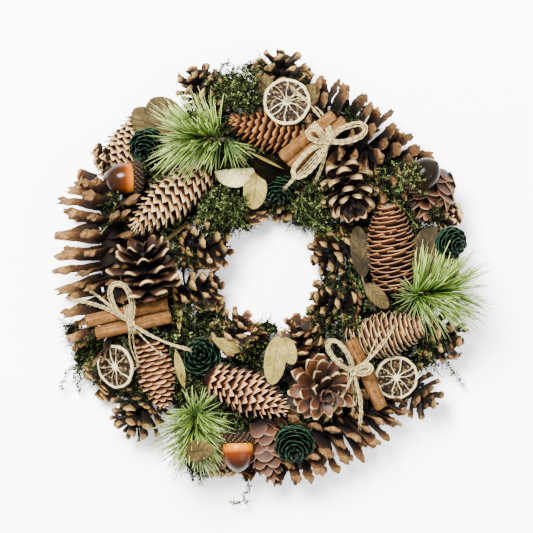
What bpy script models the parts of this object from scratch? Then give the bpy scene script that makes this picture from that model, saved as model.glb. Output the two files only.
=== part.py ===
import math
import random

import bmesh
import bpy
from mathutils import Matrix, Vector
from mathutils.bvhtree import BVHTree

# Driving dimensions in millimetres and degrees. Places are read in picture points
# of the reference view and turned to millimetres by one scale.
mmPerPoint = 0.86
metresPerUnit = 0.001
middleX = 271.0
middleY = 269.0
holePoint = (268.0, 271.0)

ringRadius = 112.0
ringHalfWidth = 33.0
ringHalfHeight = 15.0
ringSegments = 40
ringSides = 8
strandRelief = 0.07
strandCount = 3
strandTurns = 9

seatGap = 0.3
armClearance = 0.35
floorClearance = 0.6
shortestArm = 0.22
settleStep = 1.2
settleDepth = 70.0

coreStep = 0.5
coreSteps = 80
weldDistance = 0.0001
bristleRange = (2.0, 6.0)
mossSeed = 7

twineRadius = 1.25
twineSag = 14.0
twineSlope = 4.0
twineLift = 0.9
bandGap = 0.5
knotRadius = 3.4
stickRadius = 5.6
barkThickness = 1.5
scrollStart = -36
scrollTurn = 425
scrollShrink = 0.36

sliceThickness = 3.2
sliceCells = 9
sliceWave = 0.6

leafThickness = 0.9
leafArch = 3.0
leafFold = 1.6
sprigRadius = 1.1
# Share of the leaf's length, and of its half width there.
leafShape = ((0.0, 0.12), (0.2, 0.76), (0.5, 1.0), (0.82, 0.66), (1.0, 0.14))

# Radius and height of the acorn's outline: the cup up to its rim, then the nut.
acornProfile = ((0, -10.5), (7.4, -9.2), (12.4, -3.6), (13.4, 0.6), (12.2, 1.4),
                (13.1, 6.5), (11.6, 14.8), (6.6, 21.2), (0, 25.2))
acornSides = 12
acornMiddle = 8.0
cupRim = 1.0
cupBump = 1.07
cupDip = 0.97

# Each kind of scaly body: rings of tiles along it, tiles in a ring, core radius as a share
# of its whole radius, and for its base, middle and tip: how far the scales reach, and their lean.
kinds = {
    "large": {
        "rings": 11, "count": 6, "core": 0.21, "profile": (0.8, 1.0, 0.5),
        "reach": (0.84, 1.0, 0.74), "lean": (-20, 6, 46), "blunt": True,
        "sections": ((0.52, 4.2, 2.6), (1.0, 5.4, 3.2)),
    },
    "open": {
        "rings": 7, "count": 6, "core": 0.2, "profile": (0.9, 1.0, 0.6),
        "reach": (0.8, 1.0, 0.6), "lean": (-12, 20, 66), "blunt": True,
        "sections": ((1.0, 6.2, 2.8),),
    },
    "small": {
        "rings": 6, "count": 6, "core": 0.2, "profile": (0.9, 1.0, 0.7),
        "reach": (0.8, 1.0, 0.7), "lean": (-16, 20, 60), "blunt": True,
        "sections": ((1.0, 5.2, 2.6),),
    },
    "long": {
        "rings": 11, "count": 9, "core": 0.84, "profile": (0.74, 1.0, 0.42),
        "reach": (0.9, 1.0, 0.8), "lean": (38, 48, 62), "blunt": False, "sections": (),
    },
    "smooth": {
        "rings": 6, "count": 6, "core": 0.66, "profile": (0.8, 1.0, 0.5),
        "reach": (1.0, 1.0, 0.9), "lean": (40, 48, 60), "blunt": True,
        "sections": ((1.0, 5.8, 1.5),),
    },
    "green": {
        "rings": 7, "count": 8, "core": 0.7, "profile": (0.75, 1.0, 0.5),
        "reach": (0.9, 1.0, 0.9), "lean": (24, 46, 72), "blunt": False, "sections": (),
    },
    "spray": {
        "rings": 11, "count": 5, "core": 0.045, "profile": (1.0, 1.0, 0.8),
        "reach": (0.8, 1.0, 0.9), "lean": (8, 34, 62), "blunt": False, "sections": (),
    },
    "moss": {
        "rings": 9, "count": 9, "core": 1.0, "profile": (0.62, 1.0, 0.62),
        "reach": (1.0, 1.0, 1.0), "lean": (-35, 0, 35), "blunt": False, "sections": (),
    },
}

# name, kind, middle point, heading in picture points, tilt up, length, radius, height, way it is seated
coneList = (
    ("long_cone_1", "long", (167.5, 201), (-75, 62), 0, 84, 21.5, 58, "down"),
    ("long_cone_2", "long", (269, 130), (-79, -22), 3, 74, 19.5, 56, "down"),
    ("long_cone_3", "long", (391, 248), (-8, -90), 10, 78, 22, 60, "down"),
    ("long_cone_4", "long", (385, 335), (79, -20), 12, 72, 19.5, 58, "down"),
    ("long_cone_5", "long", (250, 394), (80, 36), -2, 76, 20.5, 58, "down"),
    ("long_cone_6", "long", (156, 375), (17, 72), -4, 62, 17.5, 52, "down"),
    ("long_cone_7", "long", (120, 149), (-38, 54), 0, 62, 18, 60, "down"),
    ("long_cone_8", "long", (446, 250), (-5, -70), 0, 62, 16, 60, "down"),
    ("smooth_cone_1", "smooth", (431, 199), (-14, 40), 14, 44, 21, 62, "down"),
    ("smooth_cone_2", "smooth", (268, 456), (8, 50), -6, 48, 17.5, 50, "down"),
    ("smooth_cone_3", "smooth", (220, 455), (50, 20), 0, 42, 18, 60, "down"),
)
greenList = (
    ("green_cone_1", "green", (147, 147), (-6, 12), 62, 27, 17.5, 96, "down"),
    ("green_cone_2", "green", (279, 190), (-3, 20), 40, 30, 15, 80, "down"),
    ("green_cone_3", "green", (452, 243), (8, 4), 58, 24, 15, 90, "down"),
    ("green_cone_4", "green", (202, 357), (-6, -10), 72, 26, 18, 80, "down"),
    ("green_cone_5", "green", (294, 445), (1, 16), 58, 28, 18.5, 90, "down"),
)
openList = (
    ("open_cone_1", "open", (348, 190), (10, 34), 42, 42, 27, 62, "fixed"),
    ("open_cone_2", "open", (146, 272), (-6, -40), 14, 46, 33, 64, "fixed"),
    ("open_cone_3", "open", (322, 388), (5, 8), 70, 38, 31, 62, "fixed"),
    ("open_cone_4", "small", (205, 246), (40, 8), 16, 38, 23, 46, "fixed"),
    ("open_cone_5", "small", (233, 334), (20, -24), 24, 36, 22, 46, "fixed"),
    ("open_cone_6", "small", (301, 340), (-4, -30), 44, 34, 22, 48, "fixed"),
    ("open_cone_7", "small", (337, 303), (-40, -12), 10, 40, 24, 33, "fixed"),
    ("open_cone_8", "small", (196, 288), (40, -6), 12, 38, 24, 38, "fixed"),
    ("open_cone_9", "open", (141, 410), (-20, 24), 8, 44, 27, 38, "fixed"),
    ("open_cone_10", "small", (281, 77), (2, -40), 12, 42, 25, 42, "fixed"),
    ("open_cone_11", "small", (203, 92), (-18, -34), 14, 42, 23, 42, "fixed"),
    ("open_cone_12", "small", (437, 334), (46, 18), 8, 42, 25, 36, "fixed"),
    ("open_cone_13", "small", (415, 391), (30, 26), 4, 40, 24, 34, "fixed"),
    ("open_cone_14", "small", (337, 254), (-38, 10), 8, 40, 24, 33, "fixed"),
    ("open_cone_15", "small", (286, 199), (3, 30), 0, 38, 18, 20, "fixed"),
)
largeList = (
    ("large_cone_1", "large", (111, 266), (2, 130), 0, 144, 53, 40, "fixed"),
    ("large_cone_2", "large", (359, 146), (112, 78), 0, 118, 44, 41, "fixed"),
    ("large_cone_3", "large", (342, 424), (104, -56), 0, 114, 40, 36, "fixed"),
)
sprayList = (
    ("needle_spray_1", "spray", (206, 139), (-30, -2), 10, 32, 38, 74, "fixed"),
    ("needle_spray_2", "spray", (428, 293), (46, -8), 6, 32, 42, 64, "fixed"),
    ("needle_spray_3", "spray", (195, 424), (-2, 34), 6, 32, 36, 58, "fixed"),
)
# name, middle point, heading in picture points, length, greatest radius, height
mossList = (
    ("moss_tuft_1", (236, 92), (30, -6), 46, 24, 52),
    ("moss_tuft_2", (222, 212), (16, -30), 44, 19, 44),
    ("moss_tuft_3", (315, 211), (22, 30), 44, 20, 40),
)
# name, middle of the nut, heading of the nut's point, tilt, height
acornList = (
    ("acorn_1", (124, 178), (-30, 2), 8, 90),
    ("acorn_2", (238, 451), (1, 28), 4, 80),
    ("acorn_3", (421, 176), (16, -14), 20, 96),
)
# name, middle, radius, tilt to the side, side that it faces, height, deepest drop
sliceList = (
    ("citrus_slice_1", (286.7, 102), 20.5, 8, (4, -10), 100, 70),
    ("citrus_slice_2", (115, 367), 19.5, 36, (-10, 3), 62, 22),
    ("citrus_slice_3", (397, 378), 19.0, 10, (6, 8), 90, 70),
)
# bundle: sticks as pairs of end points, height at which it starts, knot, loops and tails
bundleList = (
    {
        "name": "1", "sticks": (((282, 159), (334, 116)), ((291, 168), (345, 122))),
        "height": 100, "knot": (327, 142), "loops": (((364, 129), 7), ((294, 177), 7), ((308, 133), 5)),
        "tails": (((312, 160), (287, 186)), ((326, 160), (316, 180))),
    },
    {
        "name": "2", "sticks": (((86, 322), (168, 304)), ((96, 334), (171, 317))),
        "height": 98, "knot": (131, 323), "loops": (((118, 283), 8),),
        "tails": (((104, 302), (70, 300)), ((112, 306), (90, 291)), ((160, 343), (187, 349))),
    },
    {
        "name": "3", "sticks": (((350, 340), (381, 408)),),
        "height": 98, "knot": (353, 371), "loops": (((329, 341), 7), ((370, 367), 4)),
        "tails": (((374, 357), (391, 330)), ((344, 396), (328, 417)), ((362, 396), (360, 424))),
    },
)
# name, height, then leaves: base point, tip point, half width in points, rise of the tip
lowLeaves = (
    ("leaf_sprig_1", 84, (((184, 152), (151, 98), 22, 4), ((162, 142), (133, 108), 14, -2))),
    ("leaf_sprig_2", 70, (((424, 274), (429, 226), 14, 8),)),
)
highLeaves = (
    ("leaf_sprig_3", 80, (((256, 168), (216, 184), 11, 3), ((257, 174), (252, 212), 12, 3))),
    ("leaf_sprig_4", 80, (((362, 276), (355, 230), 9, 3), ((366, 290), (382, 312), 8, 4))),
    ("leaf_sprig_5", 80, (((280, 336), (271, 384), 11, 2), ((284, 338), (296, 366), 8, 4))),
)

colours = {
    "ring": (0.13, 0.08, 0.045), "large": (0.34, 0.2, 0.11), "open": (0.16, 0.09, 0.05),
    "small": (0.16, 0.09, 0.05),
    "long": (0.46, 0.25, 0.13), "smooth": (0.28, 0.14, 0.085), "green": (0.01, 0.06, 0.03),
    "spray": (0.22, 0.4, 0.08), "moss": (0.1, 0.2, 0.03), "acorn": (0.4, 0.15, 0.03),
    "slice": (0.75, 0.68, 0.5), "stick": (0.5, 0.22, 0.09), "twine": (0.75, 0.64, 0.42),
    "leaf": (0.38, 0.3, 0.12),
}

down = Vector((0, 0, -1))
placed = []
cores = {}


def place(point, height=0.0):
    return Vector(((point[0] - middleX) * mmPerPoint, (middleY - point[1]) * mmPerPoint, height))


def between(values, share):
    if share < 0.5:
        return values[0] + (values[1] - values[0]) * share * 2
    return values[1] + (values[2] - values[1]) * (share - 0.5) * 2


def headingOf(heading, tilt):
    flat = Vector((heading[0], -heading[1], 0)).normalized()
    up = math.radians(tilt)
    return flat * math.cos(up) + Vector((0, 0, math.sin(up)))


def frameAlong(start, direction):
    turn = direction.to_track_quat("Z", "Y").to_matrix().to_4x4()
    return Matrix.Translation(start) @ turn


def clearScene():
    for thing in list(bpy.data.objects):
        bpy.data.objects.remove(thing)


def makeCollection(name, hidden):
    group = bpy.data.collections.new(name)
    bpy.context.scene.collection.children.link(group)
    group.hide_render = hidden
    return group


def giveMaterial(thing, name, colour):
    material = bpy.data.materials.new(name)
    material.use_nodes = True
    shader = material.node_tree.nodes["Principled BSDF"]
    shader.inputs["Base Color"].default_value = (*colour, 1)
    shader.inputs["Roughness"].default_value = 0.7
    thing.data.materials.clear()
    thing.data.materials.append(material)


# Pieces are worked out in millimetres and turned to metres as they become nodes.
def addNode(name, kind, points, faces):
    mesh = bpy.data.meshes.new(name)
    mesh.from_pydata([p * metresPerUnit for p in points], [], faces)
    thing = bpy.data.objects.new(name, mesh)
    wreath.objects.link(thing)
    giveMaterial(thing, name, colours[kind])
    remember(name, points, faces)


def remember(name, points, faces):
    tree = BVHTree.FromPolygons(points, faces)
    low = Vector([min(p[i] for p in points) for i in range(3)])
    high = Vector([max(p[i] for p in points) for i in range(3)])
    placed.append((name, tree, low, high))


def apart(low, high, otherLow, otherHigh):
    return any(high[i] < otherLow[i] or low[i] > otherHigh[i] for i in range(3))


def collides(points, faces):
    low = Vector([min(p[i] for p in points) for i in range(3)])
    high = Vector([max(p[i] for p in points) for i in range(3)])
    if low.z < floorClearance:
        return True
    near = [item for item in placed if not apart(low, high, item[2], item[3])]
    if not near:
        return False
    tree = BVHTree.FromPolygons(points, faces)
    return any(tree.overlap(item[1]) for item in near)


def moved(points, shift):
    return [p + shift for p in points]


# A piece is slid from clear space until it would touch, then drawn back by the seat gap.
def settle(points, faces, way, deepest=settleDepth):
    travel = 0.0
    while collides(moved(points, way * travel), faces):
        travel -= settleStep
    while travel < deepest and not collides(moved(points, way * (travel + settleStep)), faces):
        travel += settleStep
    free = travel
    touching = travel + settleStep
    for _ in range(6):
        middle = (free + touching) / 2
        if collides(moved(points, way * middle), faces):
            touching = middle
        else:
            free = middle
    return way * (free - seatGap)


def latticePoints(kind, length, radius):
    points = []
    for ring in range(kind["rings"]):
        share = (ring + 0.5) / kind["rings"]
        wide = radius * kind["core"] * between(kind["profile"], share)
        for k in range(kind["count"]):
            angle = 2 * math.pi * (k + 0.5 * (ring % 2)) / kind["count"]
            points.append(Vector((wide * math.cos(angle), wide * math.sin(angle), share * length)))
    points.append(Vector((0, 0, 0.15 * length / kind["rings"])))
    points.append(Vector((0, 0, length * (1 - 0.1 / kind["rings"]))))
    return points


# Corner numbers of each tile in the order below, right, above, left.
def latticeTiles(rings, count):
    tiles = []
    for ring in range(1, rings - 1):
        odd = ring % 2
        for k in range(count):
            below = (ring - 1) * count + (k + odd) % count
            above = (ring + 1) * count + (k + odd) % count
            tiles.append((below, ring * count + (k + 1) % count, above, ring * count + k))
    return tiles


def latticeEnds(rings, count):
    last = rings - 1
    odd = last % 2
    base = rings * count
    faces = []
    for k in range(count):
        following = (k + 1) % count
        faces.append((k, following, count + k))
        faces.append((following, k, base))
        high = last * count + k
        highNext = last * count + following
        faces.append(((last - 1) * count + (k + odd) % count, highNext, high))
        faces.append((high, highNext, base + 1))
    return faces


# The outline of one scale at a share of its reach: a flat diamond across its own direction.
def scaleSections(kind, corners, length, reach, share, grow):
    middle = sum(corners, Vector()) / 4
    along = middle.z / length
    angle = math.atan2(middle.y, middle.x)
    out = Vector((math.cos(angle), math.sin(angle), 0))
    side = Vector((-math.sin(angle), math.cos(angle), 0))
    lean = math.radians(between(kind["lean"], along))
    ahead = out * math.cos(lean) + Vector((0, 0, math.sin(lean)))
    across = Vector((0, 0, math.cos(lean))) - out * math.sin(lean)
    far = reach * between(kind["reach"], along)
    small = 0.55 + 0.45 * min(1.0, (1.1 - along) * 1.6)
    sections = []
    for at, halfWide, halfThick in kind["sections"]:
        centre = middle + ahead * far * share * at
        wide = halfWide * small + grow
        thick = halfThick * small + grow
        centre += ahead * (grow if at == 1.0 else 0.0)
        sections.append((centre - across * thick, centre + side * wide,
                         centre + across * thick, centre - side * wide))
    tip = middle + ahead * (far * share + grow)
    return sections, None if kind["blunt"] else tip


def scaleFaces(corners, rows, tip, points, faces):
    ring = list(corners)
    for row in rows:
        first = len(points)
        points.extend(row)
        fresh = [first, first + 1, first + 2, first + 3]
        for a in range(4):
            b = (a + 1) % 4
            faces.append((ring[a], ring[b], fresh[b]))
            faces.append((ring[a], fresh[b], fresh[a]))
        ring = fresh
    if tip is None:
        faces.append((ring[0], ring[1], ring[2]))
        faces.append((ring[0], ring[2], ring[3]))
        return
    points.append(tip)
    for a in range(4):
        faces.append((ring[a], ring[(a + 1) % 4], len(points) - 1))


def scaleFits(kind, corners, frame, length, reach, share):
    rows, tip = scaleSections(kind, corners, length, reach, share, armClearance)
    points = [frame @ p for p in corners]
    faces = []
    rows = [[frame @ p for p in row] for row in rows]
    scaleFaces((0, 1, 2, 3), rows, frame @ tip if tip else None, points, faces)
    return not collides(points, faces)


# The longest share of a scale that stays clear of all that is already in place.
def fittingShare(kind, corners, frame, length, reach):
    if scaleFits(kind, corners, frame, length, reach, 1.0):
        return 1.0
    if not scaleFits(kind, corners, frame, length, reach, shortestArm):
        return 0.0
    low = shortestArm
    high = 1.0
    for _ in range(7):
        middle = (low + high) / 2
        if scaleFits(kind, corners, frame, length, reach, middle):
            low = middle
        else:
            high = middle
    return low


def reachOf(kind, radius):
    share = 1 - kind["core"]
    lean = math.cos(math.radians(kind["lean"][1]))
    return radius * share / lean


def scalyMesh(kind, length, radius, frame, trimmed):
    core = latticePoints(kind, length, radius)
    tiles = latticeTiles(kind["rings"], kind["count"])
    points = list(core)
    faces = list(latticeEnds(kind["rings"], kind["count"]))
    reach = reachOf(kind, radius)
    for tile in tiles:
        corners = [core[i] for i in tile]
        share = fittingShare(kind, corners, frame, length, reach) if trimmed else 1.0
        if share == 0:
            faces.append((tile[0], tile[1], tile[2]))
            faces.append((tile[0], tile[2], tile[3]))
            continue
        rows, tip = scaleSections(kind, corners, length, reach, share, 0.0)
        scaleFaces(tile, rows, tip, points, faces)
    return [frame @ p for p in points], faces


def clearDistance(start, way, most):
    best = most
    for item in placed:
        hit = item[1].ray_cast(start, way, most)
        if hit[0] is not None and hit[3] < best:
            best = hit[3]
    if way.z < 0:
        best = min(best, (start.z - floorClearance) / -way.z)
    return best


# A tuft swells from its middle line into the room left round it, then bristles.
def addMoss(name, point, heading, length, radius, height):
    kind = kinds["moss"]
    ahead = headingOf(heading, 0)
    frame = frameAlong(place(point, height) - ahead * length / 2, ahead)
    core = latticePoints(kind, length, radius)
    rays = []
    for number, p in enumerate(core):
        spread = 0.6 if number < len(core) - 2 else 0.0
        line = Vector((0, 0, length / 2 + (p.z - length / 2) * spread))
        way = frame.to_3x3() @ (p - line)
        start = frame @ line
        room = clearDistance(start, way.normalized(), way.length)
        rays.append((start, way.normalized() * room))
    body = shrinkClear(rays, coreFaces(kind))
    points = list(body)
    faces = list(latticeEnds(kind["rings"], kind["count"]))
    for tile in latticeTiles(kind["rings"], kind["count"]):
        addBristle([body[i] for i in tile], tile, frame, length, points, faces)
    addNode(name, "moss", points, faces)


def touchedCorners(points, faces):
    tree = BVHTree.FromPolygons(points, faces)
    touched = set()
    for item in placed:
        for own, _ in tree.overlap(item[1]):
            touched.update(faces[own])
    for i, p in enumerate(points):
        if p.z < floorClearance:
            touched.add(i)
    return touched


def shrinkClear(rays, faces):
    shares = [0.94] * len(rays)
    for _ in range(40):
        body = [ray[0] + ray[1] * share for ray, share in zip(rays, shares)]
        touched = touchedCorners(body, faces)
        if not touched:
            break
        for i in touched:
            shares[i] *= 0.88
    shares = [share * 0.97 for share in shares]
    return [ray[0] + ray[1] * share for ray, share in zip(rays, shares)]


def addBristle(corners, tile, frame, length, points, faces):
    middle = sum(corners, Vector()) / 4
    way = (middle - frame @ Vector((0, 0, length / 2))).normalized()
    height = random.uniform(*bristleRange)
    while height > 0.3:
        tip = middle + way * height
        far = middle + way * (height + armClearance)
        test = corners + [far]
        sides = [(0, 1, 4), (1, 2, 4), (2, 3, 4), (3, 0, 4)]
        if not collides(test, sides):
            scaleFaces(tile, [], tip, points, faces)
            return
        height *= 0.6
    faces.append((tile[0], tile[1], tile[2]))
    faces.append((tile[0], tile[2], tile[3]))


def addScaly(name, kindName, point, heading, tilt, length, radius, height, seat):
    kind = kinds[kindName]
    ahead = headingOf(heading, tilt)
    middle = place(point, height)
    frame = frameAlong(middle - ahead * length / 2, ahead)
    if seat == "fixed":
        frame = Matrix.Translation(cores[name]) @ frame
        forget(name)
    points, faces = scalyMesh(kind, length, radius, frame, seat == "fixed")
    if seat == "down":
        points = moved(points, settle(points, faces, down))
    addNode(name, kindName, points, faces)


# The core of a cone that is held at its height takes its place before any scale grows.
def reserveCore(name, kindName, point, heading, tilt, length, radius, height, seat):
    kind = kinds[kindName]
    ahead = headingOf(heading, tilt)
    frame = frameAlong(place(point, height) - ahead * length / 2, ahead)
    core = [frame @ p for p in latticePoints(kind, length, radius)]
    faces = coreFaces(kind)
    for step in range(coreSteps):
        lift = (step + 1) // 2 * (coreStep if step % 2 else -coreStep)
        shift = Vector((0, 0, lift))
        if not collides(moved(core, shift), faces):
            break
    else:
        print("no room for the core of", name)
    if shift.z:
        shift.z += math.copysign(seatGap, shift.z)
    cores[name] = shift
    remember(name, moved(core, shift), faces)


def forget(name):
    placed[:] = [item for item in placed if item[0] != name]


def coreFaces(kind):
    faces = list(latticeEnds(kind["rings"], kind["count"]))
    for tile in latticeTiles(kind["rings"], kind["count"]):
        faces.append((tile[0], tile[1], tile[2]))
        faces.append((tile[0], tile[2], tile[3]))
    return faces


# Runs the modifiers and bevels of a helper, removes it, and gives its closed surface.
def surfaceOf(helper):
    graph = bpy.context.evaluated_depsgraph_get()
    mesh = bpy.data.meshes.new_from_object(helper.evaluated_get(graph))
    bpy.data.objects.remove(helper)
    work = bmesh.new()
    work.from_mesh(mesh)
    bpy.data.meshes.remove(mesh)
    bmesh.ops.remove_doubles(work, verts=work.verts, dist=weldDistance)
    bmesh.ops.triangulate(work, faces=work.faces)
    bmesh.ops.recalc_face_normals(work, faces=work.faces)
    work.verts.index_update()
    points = [vertex.co.copy() for vertex in work.verts]
    faces = [tuple(vertex.index for vertex in face.verts) for face in work.faces]
    work.free()
    return points, faces


def makeHelper(name, data, group=None):
    thing = bpy.data.objects.new(name, data)
    (group or cutters).objects.link(thing)
    thing.display_type = "WIRE"
    return thing


def makeMesh(name, points, edges, faces):
    mesh = bpy.data.meshes.new(name)
    mesh.from_pydata(points, edges, faces)
    return mesh


def addSpline(curve, path, ringed):
    spline = curve.splines.new("POLY")
    spline.points.add(len(path) - 1)
    for spot, p in zip(spline.points, path):
        spot.co = (*p, 1)
    spline.use_cyclic_u = ringed


def tube(path, radius, ringed=False):
    curve = bpy.data.curves.new("tube", "CURVE")
    curve.dimensions = "3D"
    curve.bevel_depth = radius
    curve.bevel_resolution = 0
    curve.use_fill_caps = True
    addSpline(curve, path, ringed)
    return surfaceOf(makeHelper("tube", curve))


def ball(centre, radius):
    work = bmesh.new()
    bmesh.ops.create_uvsphere(work, u_segments=7, v_segments=4, radius=radius)
    mesh = bpy.data.meshes.new("ball")
    work.to_mesh(mesh)
    work.free()
    points, faces = surfaceOf(makeHelper("ball", mesh))
    return moved(points, centre), faces


# A profile of radius and height turned round the Z axis.
def turned(profile, count):
    spots = [(radius, 0, height) for radius, height in profile]
    edges = [(i, i + 1) for i in range(len(profile) - 1)]
    helper = makeHelper("profile", makeMesh("profile", spots, edges, []))
    screw = helper.modifiers.new("turn", "SCREW")
    screw.steps = count
    screw.render_steps = count
    screw.use_merge_vertices = True
    screw.merge_threshold = weldDistance
    return surfaceOf(helper)


# Number of the step of the turn that a point lies on.
def turnNumber(p, count):
    return round(math.atan2(p.y, p.x) * count / (2 * math.pi))


# Makes one body of crossing pieces.
def fused(pieces):
    if len(pieces) == 1:
        return pieces[0]
    first = makeHelper("first", makeMesh("first", pieces[0][0], [], pieces[0][1]))
    others = bpy.data.collections.new("others")
    cutters.children.link(others)
    for points, faces in pieces[1:]:
        makeHelper("other", makeMesh("other", points, [], faces), others)
    union = first.modifiers.new("union", "BOOLEAN")
    union.operation = "UNION"
    union.operand_type = "COLLECTION"
    union.collection = others
    union.solver = "MANIFOLD"
    whole = surfaceOf(first)
    for thing in list(others.objects):
        bpy.data.objects.remove(thing)
    bpy.data.collections.remove(others)
    return whole


def addRing():
    bpy.ops.mesh.primitive_torus_add(
        major_segments=ringSegments, minor_segments=ringSides,
        major_radius=ringRadius, minor_radius=1.0,
    )
    torus = bpy.context.object
    centre = place(holePoint)
    points = []
    for vertex in torus.data.vertices:
        across = math.hypot(vertex.co.x, vertex.co.y) - ringRadius
        around = math.atan2(vertex.co.y, vertex.co.x)
        section = math.atan2(vertex.co.z, across) + math.pi / ringSides
        relief = 1 + strandRelief * math.cos(strandCount * section - strandTurns * around)
        out = ringRadius + ringHalfWidth * relief * math.cos(section)
        up = ringHalfHeight * (1 + relief * math.sin(section))
        if up < 0.25 * ringHalfHeight:
            up = 0.0
        points.append(centre + Vector((out * math.cos(around), out * math.sin(around), up)))
    faces = []
    for polygon in torus.data.polygons:
        corners = list(polygon.vertices)
        faces.append((corners[0], corners[1], corners[2]))
        faces.append((corners[0], corners[2], corners[3]))
    bpy.data.objects.remove(torus)
    addNode("vine_ring", "ring", points, faces)


# The cup's rim stands proud of the nut, and its rows of bumps are raised round it.
def addAcorn(name, point, heading, tilt, height):
    points, faces = turned(acornProfile, acornSides)
    for p in points:
        if p.z < cupRim:
            row = sum(p.z > level + weldDistance for _, level in acornProfile)
            bump = cupBump if (turnNumber(p, acornSides) + row) % 2 else cupDip
            p.x *= bump
            p.y *= bump
    ahead = headingOf(heading, tilt)
    frame = frameAlong(place(point, height) - ahead * acornMiddle, ahead)
    points = [frame @ p for p in points]
    points = moved(points, settle(points, faces, down))
    addNode(name, "acorn", points, faces)


# Rind, sunken flesh between raised membranes, and a raised centre, on a slightly waved disc.
def addSlice(name, point, radius, tilt, side, height, deepest):
    half = sliceThickness / 2
    profile = ((0, -half), (0.97 * radius, -half), (radius, half), (0.88 * radius, half),
               (0.8 * radius, 0.1), (0.22 * radius, 0.2), (0, half))
    count = 2 * sliceCells
    points, faces = turned(profile, count)
    for p in points:
        share = math.hypot(p.x, p.y) / radius
        inFlesh = p.z > 0 and 0.1 < share < 0.85
        if inFlesh and turnNumber(p, count) % 2 == 0:
            p.z = 0.8 * half
        p.z += sliceWave * math.sin(2 * math.atan2(p.y, p.x)) * share
    tipped = math.radians(tilt)
    up = Vector((0, 0, math.cos(tipped)))
    up += Vector((side[0], -side[1], 0)).normalized() * math.sin(tipped)
    frame = frameAlong(place(point, height), up)
    points = [frame @ p for p in points]
    points = moved(points, settle(points, faces, down, deepest))
    addNode(name, "slice", points, faces)


# Bark rolled into a scroll: the outer and the inner side of its outline.
def scrollOutline():
    steps = 13
    outer = []
    inner = []
    for k in range(steps):
        share = k / (steps - 1)
        angle = math.radians(scrollStart + scrollTurn * share)
        size = stickRadius * (1 - scrollShrink * share)
        ray = Vector((math.cos(angle), math.sin(angle), 0))
        outer.append(ray * size)
        inner.append(ray * (size - barkThickness))
    return outer + inner[::-1]


def stickMesh(start, end):
    curve = bpy.data.curves.new("scroll", "CURVE")
    curve.dimensions = "2D"
    curve.fill_mode = "BOTH"
    curve.extrude = (end - start).length / 2
    addSpline(curve, scrollOutline(), True)
    points, faces = surfaceOf(makeHelper("scroll", curve))
    frame = frameAlong((start + end) / 2, (end - start).normalized())
    return [frame @ p for p in points], faces


# The highest thing under a spot, looked for at the spot and round it.
def heightUnder(spot, spread):
    best = 0.0
    for dx, dy in ((0, 0), (1, 0), (-1, 0), (0, 1), (0, -1)):
        start = Vector((spot.x + dx * spread, spot.y + dy * spread, settleDepth * 4))
        for item in placed:
            hit = item[1].ray_cast(start, down)[0]
            if hit is not None and hit.z > best:
                best = hit.z
    return best


# Twine lies on what is under it and falls away from the knot by the sag.
def drape(flat, startHeight, sag):
    path = []
    for i, p in enumerate(flat):
        share = i / (len(flat) - 1)
        wanted = startHeight - sag * share * share
        least = heightUnder(p, twineRadius + twineLift) + twineRadius + twineLift
        path.append(Vector((p.x, p.y, max(wanted, least))))
    for _ in range(2):
        for i in range(1, len(path)):
            path[i].z = max(path[i].z, path[i - 1].z - twineSlope)
        for i in range(len(path) - 2, 0, -1):
            path[i].z = max(path[i].z, path[i + 1].z - twineSlope)
    path[0].z = startHeight
    return path


def curvePoints(stops, count):
    points = []
    for i in range(count + 1):
        share = i / count
        first = stops[0].lerp(stops[1], share)
        second = stops[1].lerp(stops[2], share)
        points.append(first.lerp(second, share))
    return points


def loopPoints(knot, far, halfWidth):
    away = far - knot
    side = Vector((-away.y, away.x, 0)).normalized()
    shape = ((0.0, 0.0), (0.4, 0.9), (0.85, 0.9), (1.0, 0.0),
             (0.85, -0.9), (0.4, -0.9), (0.0, 0.0))
    return [knot + away * along + side * halfWidth * across for along, across in shape]


# The twine's turn round the sticks: a half circle over each outer stick, joined straight.
def bandPath(knot, side, low, high):
    size = stickRadius + twineRadius + bandGap
    path = []
    for k in range(8):
        sunk = k > 3
        angle = math.pi / 2 - math.pi * (k - sunk) / 3
        centre = knot + side * (low + size if sunk else high - size)
        path.append(centre + side * size * math.cos(angle) + Vector((0, 0, size * math.sin(angle))))
    kept = [p for i, p in enumerate(path) if (p - path[i - 1]).length > bandGap]
    return kept


# Sticks and their band are let down as one, then the bow is tied on top.
def addBundle(plan):
    start = plan["height"]
    ends = [(place(a, start), place(b, start)) for a, b in plan["sticks"]]
    sticks = [stickMesh(a, b) for a, b in ends]
    knot = place(plan["knot"], start)
    ahead = (ends[0][1] - ends[0][0]).normalized()
    side = Vector((-ahead.y, ahead.x, 0))
    offsets = [(pair[0] - knot).dot(side) for pair in ends]
    reach = stickRadius + twineRadius + bandGap
    band = tube(bandPath(knot, side, min(offsets) - reach, max(offsets) + reach), twineRadius, True)
    shift = settle(*gathered(sticks + [band]), down)
    for number, stick in enumerate(sticks):
        name = "cinnamon_stick_" + plan["name"] + "_" + str(number + 1)
        addNode(name, "stick", moved(stick[0], shift), stick[1])
    knot = knot + shift + Vector((0, 0, reach + twineLift))
    pieces = [ball(knot, knotRadius), (moved(band[0], shift), band[1])]
    for far, halfWidth in plan["loops"]:
        flat = loopPoints(knot, place(far, knot.z), halfWidth * mmPerPoint)
        path = drape(flat, knot.z, 0.0)
        path[-1].z = knot.z
        pieces.append(tube(path, twineRadius))
    for tail in plan["tails"]:
        flat = curvePoints([knot] + [place(p, knot.z) for p in tail], 4)
        pieces.append(tube(drape(flat, knot.z, twineSag), twineRadius))
    addNode("twine_bow_" + plan["name"], "twine", *fused(pieces))


def gathered(pieces):
    points = []
    faces = []
    for piece in pieces:
        first = len(points)
        points.extend(piece[0])
        faces.extend(tuple(first + i for i in face) for face in piece[1])
    return points, faces


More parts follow.
